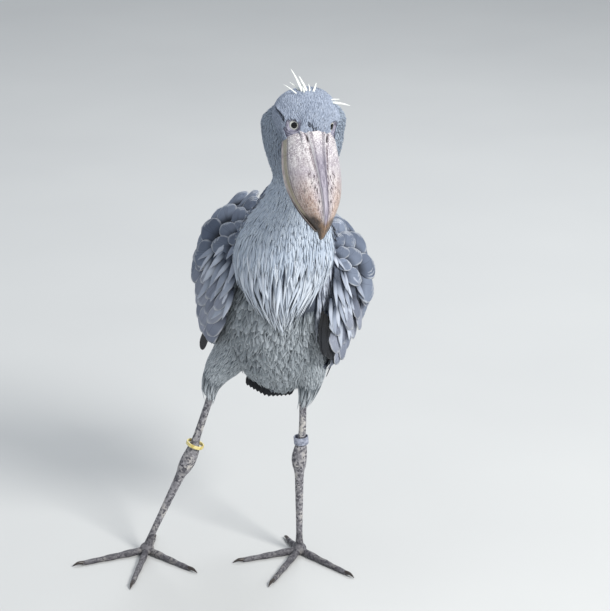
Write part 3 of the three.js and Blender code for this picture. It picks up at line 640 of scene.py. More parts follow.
def eye_frame(name):
    """The middle of an eye in the row frame, and its axes: across, up and outward."""
    mirror = np.array([EYE_SIDES[name], 1, 1])
    look = EYE_LOOK * mirror
    side = BROW_SIDE * mirror
    rise = unit(side - look * (side @ look))
    across = np.cross(rise, look)
    axes = HEAD_AXES @ np.stack([across, rise, look], 1)
    return in_head(EYE_AT * mirror), axes


# The hide is painted dark slate as the shade seen between the feathers, and is bare and lavender grey before
# the eyes, where wrinkles run round each eye, their grooves painted darker as shade.
BARE_REACH = (0.036, 0.042)  # metres from an eye between which the bare skin gives way to the dark slate of painted shade
WRINKLES = 1700  # radians of the wrinkles' wave in a metre
hide = Finish("hide_slate", Roughness=0.8)
DISTANCE = {"operation": "DISTANCE"}
from_left, from_right = (
    hide.node("ShaderNodeVectorMath", DISTANCE, {0: hide.place(), 1: tuple(eye_frame(name)[0])}, 1)
    for name in EYE_SIDES
)
from_eye = from_left.least(from_right)
crinkle = hide.noise(130)
wrinkles = (from_eye * WRINKLES + crinkle * 5).sine()
bare = hide.blend(crinkle.step(0.35, 0.65), "#777688", "#a5a3b3")
# Painted shade: the grooves of the wrinkles are darker.
bare = hide.blend(wrinkles.step(0.2, 0.9) * 0.7, bare, "#4b4a58")
# Painted shade: away from the eyes the hide is dark slate, so that it reads as the shade in the gaps between
# feathers.
gap_shade_hide = hide.ramp(hide.noise(38, 4.0), (0.3, "#3d434e"), (0.7, "#596171"))
tone = hide.blend(from_eye.step(*BARE_REACH), bare, gap_shade_hide)
hide.feed(Base_Color=tone, Normal=hide.bump(crinkle - wrinkles * 0.5, 0.0007))


def with_bowls(spots):
    """Points inside an eye's bowl move straight out to its wall."""
    for name in EYE_SIDES:
        middle, axes = eye_frame(name)
        bowl = middle + axes[:, 2] * BOWL_OUT / 1000
        gap = spots - bowl
        far = np.linalg.norm(gap, axis=1, keepdims=True)
        wall = bowl + gap / np.maximum(far, 1e-9) * BOWL_RADIUS / 1000
        spots = np.where(far < BOWL_RADIUS / 1000, wall, spots)
    return spots


SKIN_VOXEL = 0.0038
parts = [
    tube(trunk.closed(COAT_DEPTH["trunk"], 60, 72)),
    tube(neck.closed(COAT_DEPTH["neck"], 80, 64)),
    tube(skull.closed(COAT_DEPTH["skull"], 60, 120)),
    tube(tail_root.closed(COAT_DEPTH["tail"], 24, 32)),
    *(tube(thigh[name].closed(COAT_DEPTH["thigh"], 30, 36)) for name in thigh),
    *(tube(Wing(name, inset=WING_INSET).closed(0, 40, 30)) for name in WING_DROP),
]
skin = fused("skin", parts, SKIN_VOXEL, 4, hide.material)
reshaped(skin, with_bowls)
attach(skin, "root")
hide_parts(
    "torso", "neck", "breast", "head", "thigh_left", "thigh_right", "tail", "wing_left", "wing_right"
)

# Plumage: every feather is one closed vane of flat section that walks over the form it grows on. It starts
# under the skin and rises to its tip, as shingles do, and past the form's end it goes straight on.
RHOMB = np.array([(1, 0), (0, 1), (-1, 0), (0, -1)], float)
VANE = np.array(
    [(1, 0), (0.9, 0.7), (0.45, 0.9), (0, 1.3), (-0.45, 0.9), (-0.9, 0.7), (-1, 0), (0, -0.8)], float
)
# Along each kind of feather, from its root to its tip: a share of its length, and of its half-width there.
OUTLINES = {
    "tuft": [(0, 0.7), (0.45, 1.0), (0.8, 0.62), (1, 0)],
    "lance": [(0, 0.5), (0.2, 0.9), (0.42, 1.0), (0.65, 0.76), (0.85, 0.36), (1, 0)],
    "blade": [(0, 0.4), (0.25, 0.9), (0.5, 1.0), (0.72, 0.96), (0.86, 0.76), (0.95, 0.45), (1, 0)],
    "round": [(0, 0.45), (0.25, 0.88), (0.5, 1.0), (0.7, 0.98), (0.85, 0.82), (0.95, 0.5), (1, 0)],
}
PATCH = 0.003  # the size of a feather on the bake map, at its root's place


def lie(form, t, a):
    """The form's point at t, a, its directions along t and a, and its outward normal, by small steps."""
    e = 1e-3
    inside = np.clip(t, e, 1 - e)
    down = (form.spot(inside + e, a) - form.spot(inside - e, a)) / (2 * e)
    turn = (form.spot(inside, a + e) - form.spot(inside, a - e)) / (2 * e)
    point = form.spot(inside, a)
    out = unit(np.cross(down, turn))
    facing = np.sign(np.sum(out * (point - form.middle(inside)), -1, keepdims=True))
    return point, down, turn, out * facing * form.facing


def add_map(piece, title, places):
    """Gives a piece a map of its own, from a pair of numbers for each of its points."""
    corners = np.zeros(len(piece.data.loops), np.int32)
    piece.data.loops.foreach_get("vertex_index", corners)
    layer = piece.data.uv_layers.new(name=title)
    layer.uv.foreach_set("vector", places[corners].astype(np.float32).ravel())


def add_mark(piece, title, values):
    """Gives each point of a piece a number that its finish reads."""
    marks = piece.data.attributes.new(title, "FLOAT", "POINT")
    marks.data.foreach_set("value", np.asarray(values).astype(np.float32))


class Coat:
    """Feathers gathered into one piece, with their vane map, bake map and tint."""

    def __init__(self):
        self.points, self.faces, self.vane, self.bake, self.tint, self.count = [], [], [], [], [], 0

    def grow(self, form, roots, long, wide, kind, heading=0.0, section=RHOMB, thick=0.5, rise=0.1,
             sink=2.0, tilt=0.0, droop=0.0, cup=0.0, ends=(-99, 99), atlas=(0, 0, 1, 1), seed=1,
             shake=(0.1, 6, 0.1)):
        """A feather at each root. At a share s of its length its middle lies rise * long * s - sink off
        the form, and its half-width is half of wide times the outline. Lengths are millimetres, angles
        degrees. Heading 0 runs along t and 90 along a; shake is for length, heading and width."""
        draw = np.random.default_rng(seed)
        t, a = (np.array(x, float) for x in roots)
        count = len(t)

        def full(x):
            return np.broadcast_to(np.asarray(x, float), count).copy()

        def shaken(share):
            return share * draw.uniform(-1, 1, count)

        long = full(long) / 1000 * (1 + shaken(shake[0]))
        wide = full(wide) / 1000 * (1 + shaken(shake[2]))
        heading = full(heading) + shaken(shake[1])
        curl = shaken(0.5 * shake[1])
        rise = full(rise) * (1 + shaken(0.3))
        tilt = np.radians(full(tilt) + shaken(3))
        sink, thick = full(sink) / 1000, full(thick) / 1000
        turned = a if isinstance(form, Wing) else (a / (2 * np.pi)) % 1
        x0, y0, x1, y1 = atlas
        across, down_map = x0 + (x1 - x0) * (0.01 + 0.98 * turned), y0 + (y1 - y0) * (0.01 + 0.98 * t)
        root_place = np.stack([across, down_map], -1)
        outline = OUTLINES[kind]
        lies = lie(form, t, a)
        free = np.zeros(count, bool)
        rings = []
        for k, (far, width) in enumerate(outline):
            if k:
                lies = [np.where(free[:, None], old, new) for old, new in zip(lies, lie(form, t, a))]
            point, down, turn, out = lies
            angle = np.radians(heading + curl * far)[:, None]
            run = unit(unit(down) * np.cos(angle) + unit(turn) * np.sin(angle))
            side = unit(np.cross(run, out))
            lift = np.cross(side, run)
            side = side * np.cos(tilt)[:, None] + lift * np.sin(tilt)[:, None]
            lift = np.cross(side, run)
            middle = point + out * (rise * long * far - sink)[:, None]
            middle[:, 2] -= droop * long * far**2
            if far == 1:
                rings.append(middle[:, None])
                break
            half = wide * width / 2
            x = section[:, 0] * half[:, None]
            z = section[:, 1] * (thick * (1 - 0.5 * far))[:, None]
            z = z - cup * half[:, None] * section[:, 0] ** 2
            rings.append(middle[:, None] + side[:, None] * x[..., None] + lift[:, None] * z[..., None])
            stride = long * (outline[k + 1][0] - far)
            t = t + np.cos(angle[:, 0]) * stride / np.linalg.norm(down, axis=1)
            a = a + np.sin(angle[:, 0]) * stride / np.linalg.norm(turn, axis=1)
            lies = [point + run * stride[:, None], down, turn, out]
            free = free | (t < 0) | (t > 1) | (a < ends[0]) | (a > ends[1])
        points = np.concatenate(rings, 1)
        sides, steps = len(section), len(outline) - 1
        walls, tips = vane_faces(steps, sides)
        each = points.shape[1]
        base = self.count + np.arange(count)[:, None, None] * each
        self.points.append(points.reshape(-1, 3))
        self.faces.append(((walls[None] + base).reshape(-1, 4), (tips[None] + base).reshape(-1, 3)))
        far = np.array([place for place, _ in outline])
        u = np.concatenate([np.tile(section[:, 0] / 2 + 0.5, steps), [0.5]])
        v = np.concatenate([np.repeat(far[:-1], sides), [1.0]])
        local = np.stack([u, v], -1)
        self.vane.append(np.tile(local, (count, 1)))
        self.bake.append((root_place[:, None] + (local - 0.5) * PATCH).reshape(-1, 2))
        self.tint.append(np.repeat(draw.uniform(0, 1, count), each))
        self.count += count * each

    def piece(self, name, material, slot, *nodes):
        """The feathers as one piece, in the place of the solids that are named."""
        walls, tips = (np.concatenate(blocks) for blocks in zip(*self.faces))
        made = put(name, np.concatenate(self.points), [walls, tips], material)
        add_map(made, "OFBake", np.concatenate(self.bake))
        add_map(made, "Vane", np.concatenate(self.vane))
        add_mark(made, "tint", np.concatenate(self.tint))
        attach(made, "root")
        if nodes:
            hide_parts(*nodes)


def vane_faces(steps, sides):
    """The walls, tip and root cap of one feather of steps rings with sides points."""
    ring, i = np.meshgrid(np.arange(steps), np.arange(sides), indexing="ij")
    here, after = ring * sides + i, ring * sides + (i + 1) % sides
    walls = np.stack([here, after, after + sides, here + sides], -1)[:-1].reshape(-1, 4)
    tip = np.stack([here[-1], after[-1], np.full(sides, steps * sides)], 1)
    i = np.arange(1, sides - 1)
    return walls, np.concatenate([tip, np.stack([0 * i, i + 1, i], 1)])


def sown(form, t_ends, a_ends, gaps, seed, *bodies, depth=10.0, keep=None, loose=0.35):
    """Roots in staggered rows, gaps (down, round) millimetres apart, each shaken by the share loose of its
    gap. Those that one of the bodies holds deeper than depth, or that the test keep drops, are left out."""
    draw = np.random.default_rng(seed)
    fine = np.linspace(*t_ends, 200)
    steps = np.linalg.norm(np.diff(form.spot(fine, np.full(200, sum(a_ends) / 2)), axis=0), axis=1)
    length = np.concatenate([[0], np.cumsum(steps)]) * 1000
    count = max(int(length[-1] / gaps[0]), 1)
    t_rows = np.interp((np.arange(count) + 0.5) / count * length[-1], length, fine)
    t_step = (t_ends[1] - t_ends[0]) / count
    ring_a = np.linspace(*a_ends, 120)
    found = []
    for row, t in enumerate(t_rows):
        steps = np.linalg.norm(np.diff(form.spot(np.full(120, t), ring_a), axis=0), axis=1)
        girth = np.concatenate([[0], np.cumsum(steps)]) * 1000
        places = max(int(girth[-1] / gaps[1]), 1)
        at = (np.arange(places) + 0.25 + 0.5 * (row % 2) + loose * draw.uniform(-1, 1, places)) / places
        a = np.interp(at * girth[-1], girth, ring_a)
        found.append(np.stack([t + loose * t_step * draw.uniform(-1, 1, places), a]))
    t, a = np.concatenate(found, 1)
    t = np.clip(t, 0.002, 0.998)
    points = form.spot(t, a)
    stay = np.ones(len(t), bool)
    for body in bodies:
        stay &= ~body.holds(points, depth)
    if keep:
        stay &= keep(t, a, points)
    return t[stay], a[stay]


def height_at(rows, height, column=0):
    """The t at which a column of falling numbers passes a height."""
    share = np.linspace(0, 1, 600)
    return np.interp(-np.asarray(height, float), -along(np.array(rows, float), share)[:, column], share)


def plumage(name, deep, dull, fair, rim, rim_share=0.5, barbs=0.0, clouds=9.0, root_shade_reach=0.55, edge_shade=0.0):
    """A feather's finish: painted shade in the colour deep at its root, where the feathers overlap, from
    dull to fair by its tint and by broad clouds over the bird, a paler rim, painted shade along its edges by
    a share so that strands look apart, and a dark shaft and fine barbs on a firm vane."""
    made = Finish(name, Roughness=0.85)
    vane = made.node("ShaderNodeUVMap", {"uv_map": "Vane"})
    across, along_it = made.part(vane, 0), made.part(vane, 1)
    off = abs(across - 0.5) * 2
    tone = made.blend((made.mark("tint") * 0.6 + made.noise(clouds) * 0.8 - 0.2).step(0.1, 0.9), dull, fair)
    low, high = (0.78, 0.97) if barbs else (0.55, 0.95)
    rim_at = off.step(low, high).most(along_it.step(high - 0.12, 1.0))
    tone = made.blend(rim_at * along_it.step(0.25, 0.6) * rim_share, tone, rim)
    # Painted shade: the vane's edges darken towards the deep colour, so that strands look apart.
    if edge_shade:
        tone = made.blend(off.step(0.45, 0.9) * edge_shade, tone, deep)
    # Painted shade: the overlapped root of each feather is painted the deep colour.
    tone = made.blend(along_it.step(0.0, root_shade_reach), deep, tone)
    if barbs:
        tone = made.blend(off.fall(0.0, 0.05) * 0.3, tone, deep)
        made.feed(Normal=made.bump(((along_it * 90 + off * 22) * 6.28).sine(), barbs))
    made.feed(Base_Color=tone)
    return made.material


RIGHT_ROUND = (-math.pi, math.pi)
pale = plumage("plume_silver", "#424a56", "#b3bdcb", "#dbe1e9", "#eef1f5", 0.2, edge_shade=0.7)
bright = plumage("plume_bright", "#6b7583", "#b2bcca", "#d6dde6", "#e8ecf1", 0.25, edge_shade=0.25, root_shade_reach=0.4)
drape_tone = plumage("plume_drape", "#3f4755", "#8f98a9", "#c2c9d6", "#e0e4ea", 0.5, edge_shade=0.2)
breast_tone = plumage("plume_breast", "#9aa4b3", "#aab6c6", "#c3cdd9", "#d0d8e1", 0.25, clouds=14, root_shade_reach=0.3)
cap_tone = plumage("plume_cap", "#7d8799", "#8e99ac", "#b2bccd", "#bfc8d6", 0.3, clouds=70)
# Painted shade: the cheeks and throat under the head get a darker tone than the cap's.
cheek_shade_tone = plumage("plume_cheek_shaded", "#6f7a8a", "#8793a4", "#a2aebd", "#b2bcc8", 0.3, clouds=22)
down_tone = plumage("plume_down", "#555d64", "#868e94", "#adb4ba", "#c8cdd1", 0.5, root_shade_reach=0.75)
thigh_tone = plumage("plume_thigh", "#626a71", "#99a1a7", "#c2c8cd", "#d6dadd", 0.4, root_shade_reach=0.7)
# Painted shade: this dark finish also paints the shadow in the crease under each edge of the cap.
fleck_and_crease_shade_tone = plumage("plume_fleck_and_crease_shade", "#2c313b", "#3d434f", "#545c69", "#68707c", 0.2)
slate = plumage("plume_slate", "#2f3643", "#616d83", "#8f9aae", "#d9dee5", 0.9, barbs=0.0002)
lilac = plumage("plume_lilac", "#3d4350", "#868ea2", "#b3b9c9", "#e4e7ec", 0.9, barbs=0.0002)
black = plumage("plume_black", "#0b0c10", "#16181d", "#24272e", "#3c4048", 0.4, barbs=0.0002)


LIDS_OUT = 0.012  # from the eye's middle to the rim of its lids, in metres
LIDS_BELOW = 0.0165  # the reach of the bare lids from there, below and above
LIDS_ABOVE = 0.0122


def off_eyes(t, a, points):
    """False for roots in the bare ring round each eye and on the bare lores."""
    stay = np.ones(len(t), bool)
    for name in EYE_SIDES:
        middle, axes = eye_frame(name)
        from_rim = points - middle - axes[:, 2] * LIDS_OUT
        reach = np.where(from_rim @ axes[:, 1] > 0.004, LIDS_ABOVE, LIDS_BELOW)
        stay &= np.linalg.norm(from_rim, axis=1) > reach
    x, back, z = from_head(points).T
    return stay & ~((back < -3) & (back > -40) & (np.abs(x) > 35) & (z > -14))


# Head plumage: very short feathers that lie back from the bill, finest on the forehead.
head_coat = Coat()
roots = sown(skull, (0.02, 0.985), RIGHT_ROUND, (2.8, 2.1), 21, neck, depth=6, keep=off_eyes)
head_coat.grow(skull, roots, 8.5, 2.4, "tuft", heading=180, thick=0.35, rise=0.13, sink=1.9,
               shake=(0.2, 6, 0.2), seed=22)
head_coat.piece("plumage_head", cap_tone, "feather_pale")

# Dark lines of the head: dark feathers in the crease under each edge of the cap, which paint the crease's
# shade, and a few dark flecks on the forehead above the bill.
CREASE_SHADE_TUFTS = 90
# t and a of the middle of each group of five flecks
FLECKS_AT = [
    [0.93, 1.62], [0.95, 1.66], [0.9, 1.7], [0.88, 1.66], [0.96, 1.6], [0.84, 1.78], [0.82, 1.84],
    [0.8, 1.9],
]
marks = Coat()
draw = np.random.default_rng(24)
share = np.linspace(0, 1, 300)
low = np.linspace(-0.6, 1.0, 240)
for mirror in (1, -1):
    back = draw.uniform(9, 46, CREASE_SHADE_TUFTS)
    t = np.interp(-back, along(skull.rows, share)[:, 0], share)
    ring = skull.spot(t[:, None] + 0 * low[None, :], low[None, :] + 0 * t[:, None])
    aim = np.interp(back, CREASE_BACK, CREASE_HIGH) - 1 + draw.normal(0, 0.9, CREASE_SHADE_TUFTS)
    a = low[np.abs(from_head(ring)[..., 2] - aim[:, None]).argmin(1)]
    a = a if mirror > 0 else math.pi - a
    marks.grow(skull, (t, a), 7, 2.2, "tuft", heading=180, thick=0.4, rise=0.1, sink=0.6, seed=25)
flecks = (np.array(FLECKS_AT)[:, None] + draw.normal(0, [0.012, 0.03], (8, 5, 2))).reshape(-1, 2).T
marks.grow(skull, flecks, 6.5, 1.9, "tuft", heading=180, thick=0.35, rise=0.14, sink=1.2, seed=26)
marks.piece("head_marks_and_crease_shade", fleck_and_crease_shade_tone, "feather_pale")

# Crest: a few stiff whitish plumes that stand off the back of the crown, each from its base to its tip in
# the head's frame, as [x, y, z of the base, x, y, z of the tip, width].
CREST = [
    [-24, 66, 28, -47, 112, 38, 7.5],
    [-15, 66, 31, -28, 100, 31, 7],
    [-27, 70, 23, -46, 91, 19, 6],
    [-1, 64, 35, 10, 86, 31, 6],
    [41, 42, 31, 80, 36, 32, 6.5],
    [-21, 63, 32, -21, 97, 21, 5.5],
    [-9, 65, 33, -2, 89, 17, 5],
    [-33, 60, 24, -62, 84, 22, 4],
    [36, 48, 30, 60, 52, 27, 4.5],
]


def spike_grid(base, tip, wide):
    """A flat tapering plume, its root in the skull: its half-width falls as (1 - s)^0.6 from base to tip,
    and it bows back a little, by 0.06 of its length times sin(pi s)."""
    s = np.linspace(0, 0.995, 14)[:, None, None]
    a = np.linspace(0, 2 * np.pi, 10, endpoint=False)[None, :, None]
    base, tip = np.array(base, float), np.array(tip, float)
    run = unit(tip - base)
    side = unit(np.cross(run, [0, 0, 1.0]))
    lift = np.cross(side, run)
    half = wide / 2 * (0.55 + 0.45 * np.sin(np.pi * np.minimum(s * 1.6, 0.5))) * (1 - s) ** 0.6
    bow = 0.06 * np.linalg.norm(tip - base) * np.sin(np.pi * s)
    start = base - run * 5
    return start + (tip - start) * s + lift * bow + side * np.cos(a) * half + lift * np.sin(a) * half * 0.28


quill = Finish("plume_crest", Roughness=0.7)
quill_run = quill.noise(240)
quill_tone = quill.blend(quill_run.step(0.3, 0.7), "#c9cdc9", "#eef0ea")
quill.feed(Base_Color=quill_tone, Normal=quill.bump(quill_run, 0.0005))
spikes = [tube(in_head(spike_grid(row[:3], row[3:6], row[6]))) for row in CREST]
crest = put("crest", *gathered(spikes), quill.material)
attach(crest, "root")

# Neck plumage: short on the cheeks and throat, and longer and narrower down the breast, where it ends
# in a bib of long silver plumes that hang over one another in a pointed fringe.
def neck_t(height):
    return float(height_at(NECK_SLICES, height, 2))


cheeks = Coat()
roots = sown(neck, (0.01, neck_t(985)), RIGHT_ROUND, (4.0, 3.2), 41, skull, depth=4)
cheeks.grow(neck, roots, 12, 4.6, "tuft", thick=0.45, rise=0.28, sink=4, seed=42, shake=(0.2, 10, 0.2))
cheeks.piece("plumage_cheeks", cheek_shade_tone, "feather_pale")

FRONT = -math.pi / 2
BIB_HALF = math.radians(125)  # how far round from the front the bib's bands reach
# From, to, gaps down and round, and finish: the rows of the neck and bib in bands of growing size.
BIB_BANDS = [
    (1000, 905, 6.5, 4.4, breast_tone),
    (920, 820, 8.5, 5.2, breast_tone),
    (838, 752, 20, 8.2, bright),
    (765, 664, 22, 9.2, pale),
]
PLUME_HEIGHTS = [660, 700, 760, 815, 860, 900, 950, 1000]
PLUME_LONG = [52, 74, 86, 70, 30, 24, 20, 15]
PLUME_WIDE = [7.2, 7.6, 7.8, 7.4, 7.0, 6.4, 5.6, 5.0]
for band, (top, bottom, gap_down, gap_round, finish) in enumerate(BIB_BANDS):
    plumes = Coat()
    spread = math.pi if band == 0 else BIB_HALF
    t_ends, a_ends = (neck_t(top), neck_t(bottom)), (FRONT - spread, FRONT + spread)
    roots = sown(neck, t_ends, a_ends, (gap_down, gap_round), 51 + band, trunk, skull)
    height = along(neck.rows, roots[0])[:, 0]
    inward = -7 * (roots[1] - FRONT) / math.radians(100)
    draw = np.random.default_rng(58 + band)
    loose = np.interp(height, [700, 830, 880], [7, 7, 3]) * draw.normal(0, 1, len(height))
    turned = np.sign(draw.uniform(-1, 1, len(height)))
    plumes.grow(
        neck,
        roots,
        np.interp(height, PLUME_HEIGHTS, PLUME_LONG),
        np.interp(height, PLUME_HEIGHTS, PLUME_WIDE),
        "lance",
        heading=inward + loose,
        thick=1.0,
        rise=np.interp(height, [700, 800, 840, 900], [0.19, 0.15, 0.11, 0.13]),
        sink=np.interp(height, [800, 860], [4.5, 3]),
        tilt=np.interp(height, [700, 820, 860], [24, 20, 0]) * turned,
        cup=0.3,
        section=VANE if band > 1 else RHOMB,
        seed=54 + band,
        shake=(0.18, 4, 0.25),
        droop=0.02,
    )
    plumes.piece(f"bib_plumes_{band}", finish, "feather_pale")

# Belly and back: soft loose feathers below, firmer rounded ones over the shoulders.
def below_wings(t, a, points):
    """False for roots high on the flanks, where the flank plumes grow."""
    level, side = along(trunk.rows, t)[:, 0], np.cos(a)
    return (level < np.where(side > 0, 70, 130)) & ~((side < 0.1) & (t > 0.93))


def trunk_t(height):
    return float(height_at(trunk.rows, height))


flank = Coat()
for a_ends, low in (((-0.85, 0.1), 60), ((-math.pi - 0.1, -math.pi + 0.6), 120)):
    roots = sown(trunk, (trunk_t(225), trunk_t(low)), a_ends, (15, 8), 60, neck, depth=14)
    flank.grow(trunk, roots, 70, 12, "lance", thick=1.1, rise=0.17, sink=9, seed=60, shake=(0.2, 9, 0.25),
               cup=0.3, tilt=8, section=VANE)
flank.piece("flank_plumes", drape_tone, "feather_pale")
belly = Coat()
roots = sown(trunk, (0.08, 0.99), (-math.pi, 0), (12, 10), 61, neck, keep=below_wings)
belly.grow(trunk, roots, 36, 19, "round", thick=1.6, rise=0.2, sink=9, seed=62, shake=(0.25, 26, 0.3),
           cup=0.4, tilt=10)
belly.piece("plumage_belly", down_tone, "feather_body")
wisps = Coat()
roots = sown(trunk, (0.3, 0.99), (-math.pi, 0), (9, 7), 65, neck, keep=below_wings)
wisps.grow(trunk, roots, 30, 3.4, "lance", thick=0.8, rise=0.26, sink=7, seed=66, shake=(0.3, 30, 0.3))
roots = sown(trunk, (0.86, 0.97), (-1.5, -0.5), (8, 8), 67)
wisps.grow(trunk, roots, 40, 9, "lance", thick=1.0, rise=0.1, sink=6, seed=68, shake=(0.3, 20, 0.3),
           droop=0.2, cup=0.3)
wisps.piece("belly_wisps", down_tone, "feather_body")

# The back's feathers go on up the back of the neck and down over the root of the tail. Each row here is a
# form, its part, the gaps and seed, what hides a root, and a feather's length, width, rise and sink.
BACK_HALF = (0.0, math.pi)
MANTLE = [
    (trunk, (0.02, 0.99), BACK_HALF, (11, 10), 63, (neck,), 44, 19, 0.14, 7),
    (neck, (neck_t(975), neck_t(740)), BACK_HALF, (11, 10), 75, (trunk, skull), 40, 18, 0.13, 3),
    (tail_root, (0.02, 0.97), RIGHT_ROUND, (11, 9), 77, (trunk,), 42, 17, 0.06, 4),
]
mantle = Coat()
for form, t_ends, a_ends, gaps, seed, hidden_by, long, wide, rise, sink in MANTLE:
    roots = sown(form, t_ends, a_ends, gaps, seed, *hidden_by)
    mantle.grow(form, roots, long, wide, "round", thick=0.9, rise=rise, sink=sink, seed=seed + 1,
                shake=(0.15, 8, 0.15), cup=0.2)
mantle.piece("plumage_back", slate, "feather_slate")

# Thighs: fine plumes all over, and rings of longer ones that hang free at the hem, [t, length] each.
HEM_ROWS = np.array([[0.6, 66], [0.7, 52], [0.8, 38], [0.88, 26]])
HEM_RISE = [0.1, 0.075, 0.05, 0.03]
HEM_ROUND = 28
hem_a = np.tile(np.linspace(0, 2 * np.pi, HEM_ROUND, endpoint=False), len(HEM_ROWS))
hem_t, hem_long = np.repeat(HEM_ROWS, HEM_ROUND, 0).T
hem_t = hem_t + 0.03 * np.sin(np.arange(len(hem_t)) * 2.4)
for name, form in thigh.items():
    coat = Coat()
    roots = sown(form, (0.02, 0.98), RIGHT_ROUND, (5.6, 4.6), 71, trunk, depth=14)
    coat.grow(form, roots, 19, 6.2, "lance", thick=0.8, rise=0.09, sink=6, seed=72, shake=(0.25, 12, 0.25),
              cup=0.2)
    coat.grow(form, (hem_t, hem_a), hem_long, 7, "lance", thick=0.9, rise=np.repeat(HEM_RISE, HEM_ROUND),
              sink=5, seed=73, shake=(0.25, 9, 0.25), cup=0.2)
    coat.piece(f"plumage_thigh_{name}", thigh_tone, "feather_body")

# Wings: rounded scapulars fan over the top and the outer side, narrow plumes drape down the front from
# beside the bib, and broad coverts, secondaries and dark primaries run down and back below them.
# A tier is a kind of feather, a finish, their number, and for its first and last feather
# [height, share of the way back, length, width, heading, rise]. Slate tiers are three layers thick.
WING_TIERS = [
    ("blade", "lilac", 8, [-34, 0.16, 120, 42, 18, 0.02], [112, 0.80, 150, 50, 60, 0.04]),
    ("blade", "lilac", 7, [-8, 0.03, 112, 44, 12, 0.08], [92, 0.66, 118, 48, 52, 0.08]),
    ("blade", "lilac", 6, [30, 0.02, 98, 40, 10, 0.13], [102, 0.58, 108, 44, 48, 0.12]),
    ("blade", "lilac", 6, [64, 0.01, 84, 32, 12, 0.17], [124, 0.50, 96, 38, 46, 0.15]),
    ("blade", "lilac", 5, [96, 0.01, 70, 27, 16, 0.19], [146, 0.42, 80, 34, 48, 0.17]),
    ("round", "slate", 4, [66, 0.66, 90, 58, 36, 0.11], [190, 0.92, 92, 62, 66, 0.11]),
    ("round", "slate", 4, [104, 0.46, 88, 60, 44, 0.18], [212, 0.74, 84, 62, 90, 0.17]),
    ("round", "slate", 4, [144, 0.30, 76, 56, 56, 0.24], [226, 0.46, 68, 58, 118, 0.22]),
    ("round", "slate", 4, [172, 0.12, 54, 38, 60, 0.24], [226, 0.24, 54, 48, 140, 0.24]),
    ("round", "slate", 4, [190, 0.03, 42, 28, 66, 0.24], [228, 0.08, 44, 38, 160, 0.22]),
]
DRAPE_HEIGHTS = [60, 110, 150, 206]
DRAPE_BACK = [0.1, 0.26, 0.34, 0.14]  # how far back the draping plumes reach at those heights
DRAPE_KEPT = 0.75
FIRM = {"section": VANE, "thick": 1.0, "tilt": 8, "ends": (0, 1)}


def wing_t(height):
    return height_at(WING_SLICES, height)


DRAPE_ENDS = (float(wing_t(206)), float(wing_t(60)))


for name, seed in (("left", 11), ("right", 23)):
    outer, inner, sheet = Wing(name), Wing(name, face=-1.0, facing=-1), Wing(name, face=0.0)
    coats = {"lilac": Coat(), "slate": Coat()}
    for row, (kind, tone, count, start, end) in enumerate(WING_TIERS):
        share = np.linspace(0, 1, count)[:, None]
        level, chord, long, wide, heading, rise = (np.array(start) * (1 - share) + np.array(end) * share).T
        if name == "left" and row < 3:
            chord = np.maximum(chord, 0.15)
        for layer in range(3 if tone == "slate" else 1):
            coats[tone].grow(outer, (wing_t(level), chord), long * (1 - 0.11 * layer),
                             wide * (1 - 0.07 * layer), kind, heading=heading + 7 * layer,
                             rise=rise + 0.02 * layer, sink=3, cup=0.2, seed=seed + row,
                             shake=(0.07, 5, 0.08), **FIRM)
    drape = Coat()
    t, chord = sown(outer, DRAPE_ENDS, (-0.02, 0.4), (20, 15), seed + 20, loose=0.6)
    level = along(outer.rows, t)[:, 0]
    stay = chord < np.interp(level, DRAPE_HEIGHTS, DRAPE_BACK)
    stay &= np.random.default_rng(seed + 22).uniform(0, 1, len(stay)) < DRAPE_KEPT
    t, chord, level = t[stay], chord[stay], level[stay]
    long, wide = (np.interp(level, [0, 80, 200], sizes) for sizes in ([80, 72, 44], [19, 18, 12]))
    drape.grow(outer, (t, chord), long, wide, "lance", heading=6 + 55 * chord, section=VANE, thick=1.1,
               rise=0.2, sink=2, tilt=12, ends=(-0.06, 1), cup=0.3, seed=seed + 21, shake=(0.3, 15, 0.35),
               droop=0.03)
    drape.piece(f"wing_plumes_{name}", drape_tone, "feather_pale", f"wing_{name}")
    coats["lilac"].piece(f"coverts_{name}", lilac, "feather_slate", f"wing_{name}")
    coats["slate"].piece(f"scapulars_{name}", slate, "feather_slate", f"wing_{name}")
    lining = Coat()
    roots = sown(inner, (0.05, 0.97), (0.04, 0.96), (12, 11), 81, trunk, depth=6)
    lining.grow(inner, roots, 34, 15, "lance", heading=25, thick=0.8, rise=0.03, sink=2, seed=82,
                ends=(0, 1), cup=0.2)
    lining.piece(f"wing_lining_{name}", down_tone, "feather_body")
    # The hand: long primaries that show under the tiers, and short ones inside the front edge. On the left
    # wing, which hangs open a little, more of them show before its edge.
    hand = Coat()
    share = np.linspace(0, 1, 9)
    hand.grow(sheet, (0.86 - 0.2 * share, 0.24 + 0.36 * share), 215 * (1 - 0.12 * share), 26, "blade",
              heading=36 + 16 * share, rise=-0.02, sink=0, seed=83, shake=(0.02, 1.5, 0.03),
              **{**FIRM, "tilt": 9})
    share = np.linspace(0, 1, 5)
    hand.grow(inner, (float(wing_t(66)) + 0.12 * share, 0.03 + 0.12 * share), 116, 24, "blade",
              heading=4 + 12 * share, rise=0.04, sink=1, seed=84, shake=(0.05, 2, 0.03), **FIRM)
    if name == "left":
        share = np.linspace(0, 1, 7)
        hand.grow(outer, (wing_t(96 - 44 * share), -0.1 + 0.17 * share), 128, 25, "blade",
                  heading=-3 + 12 * share, rise=0.03, sink=-1, seed=86, shake=(0.08, 3, 0.05),
                  **{**FIRM, "ends": (-0.3, 1)})
    hand.piece(f"primaries_{name}", black, "feather_dark")

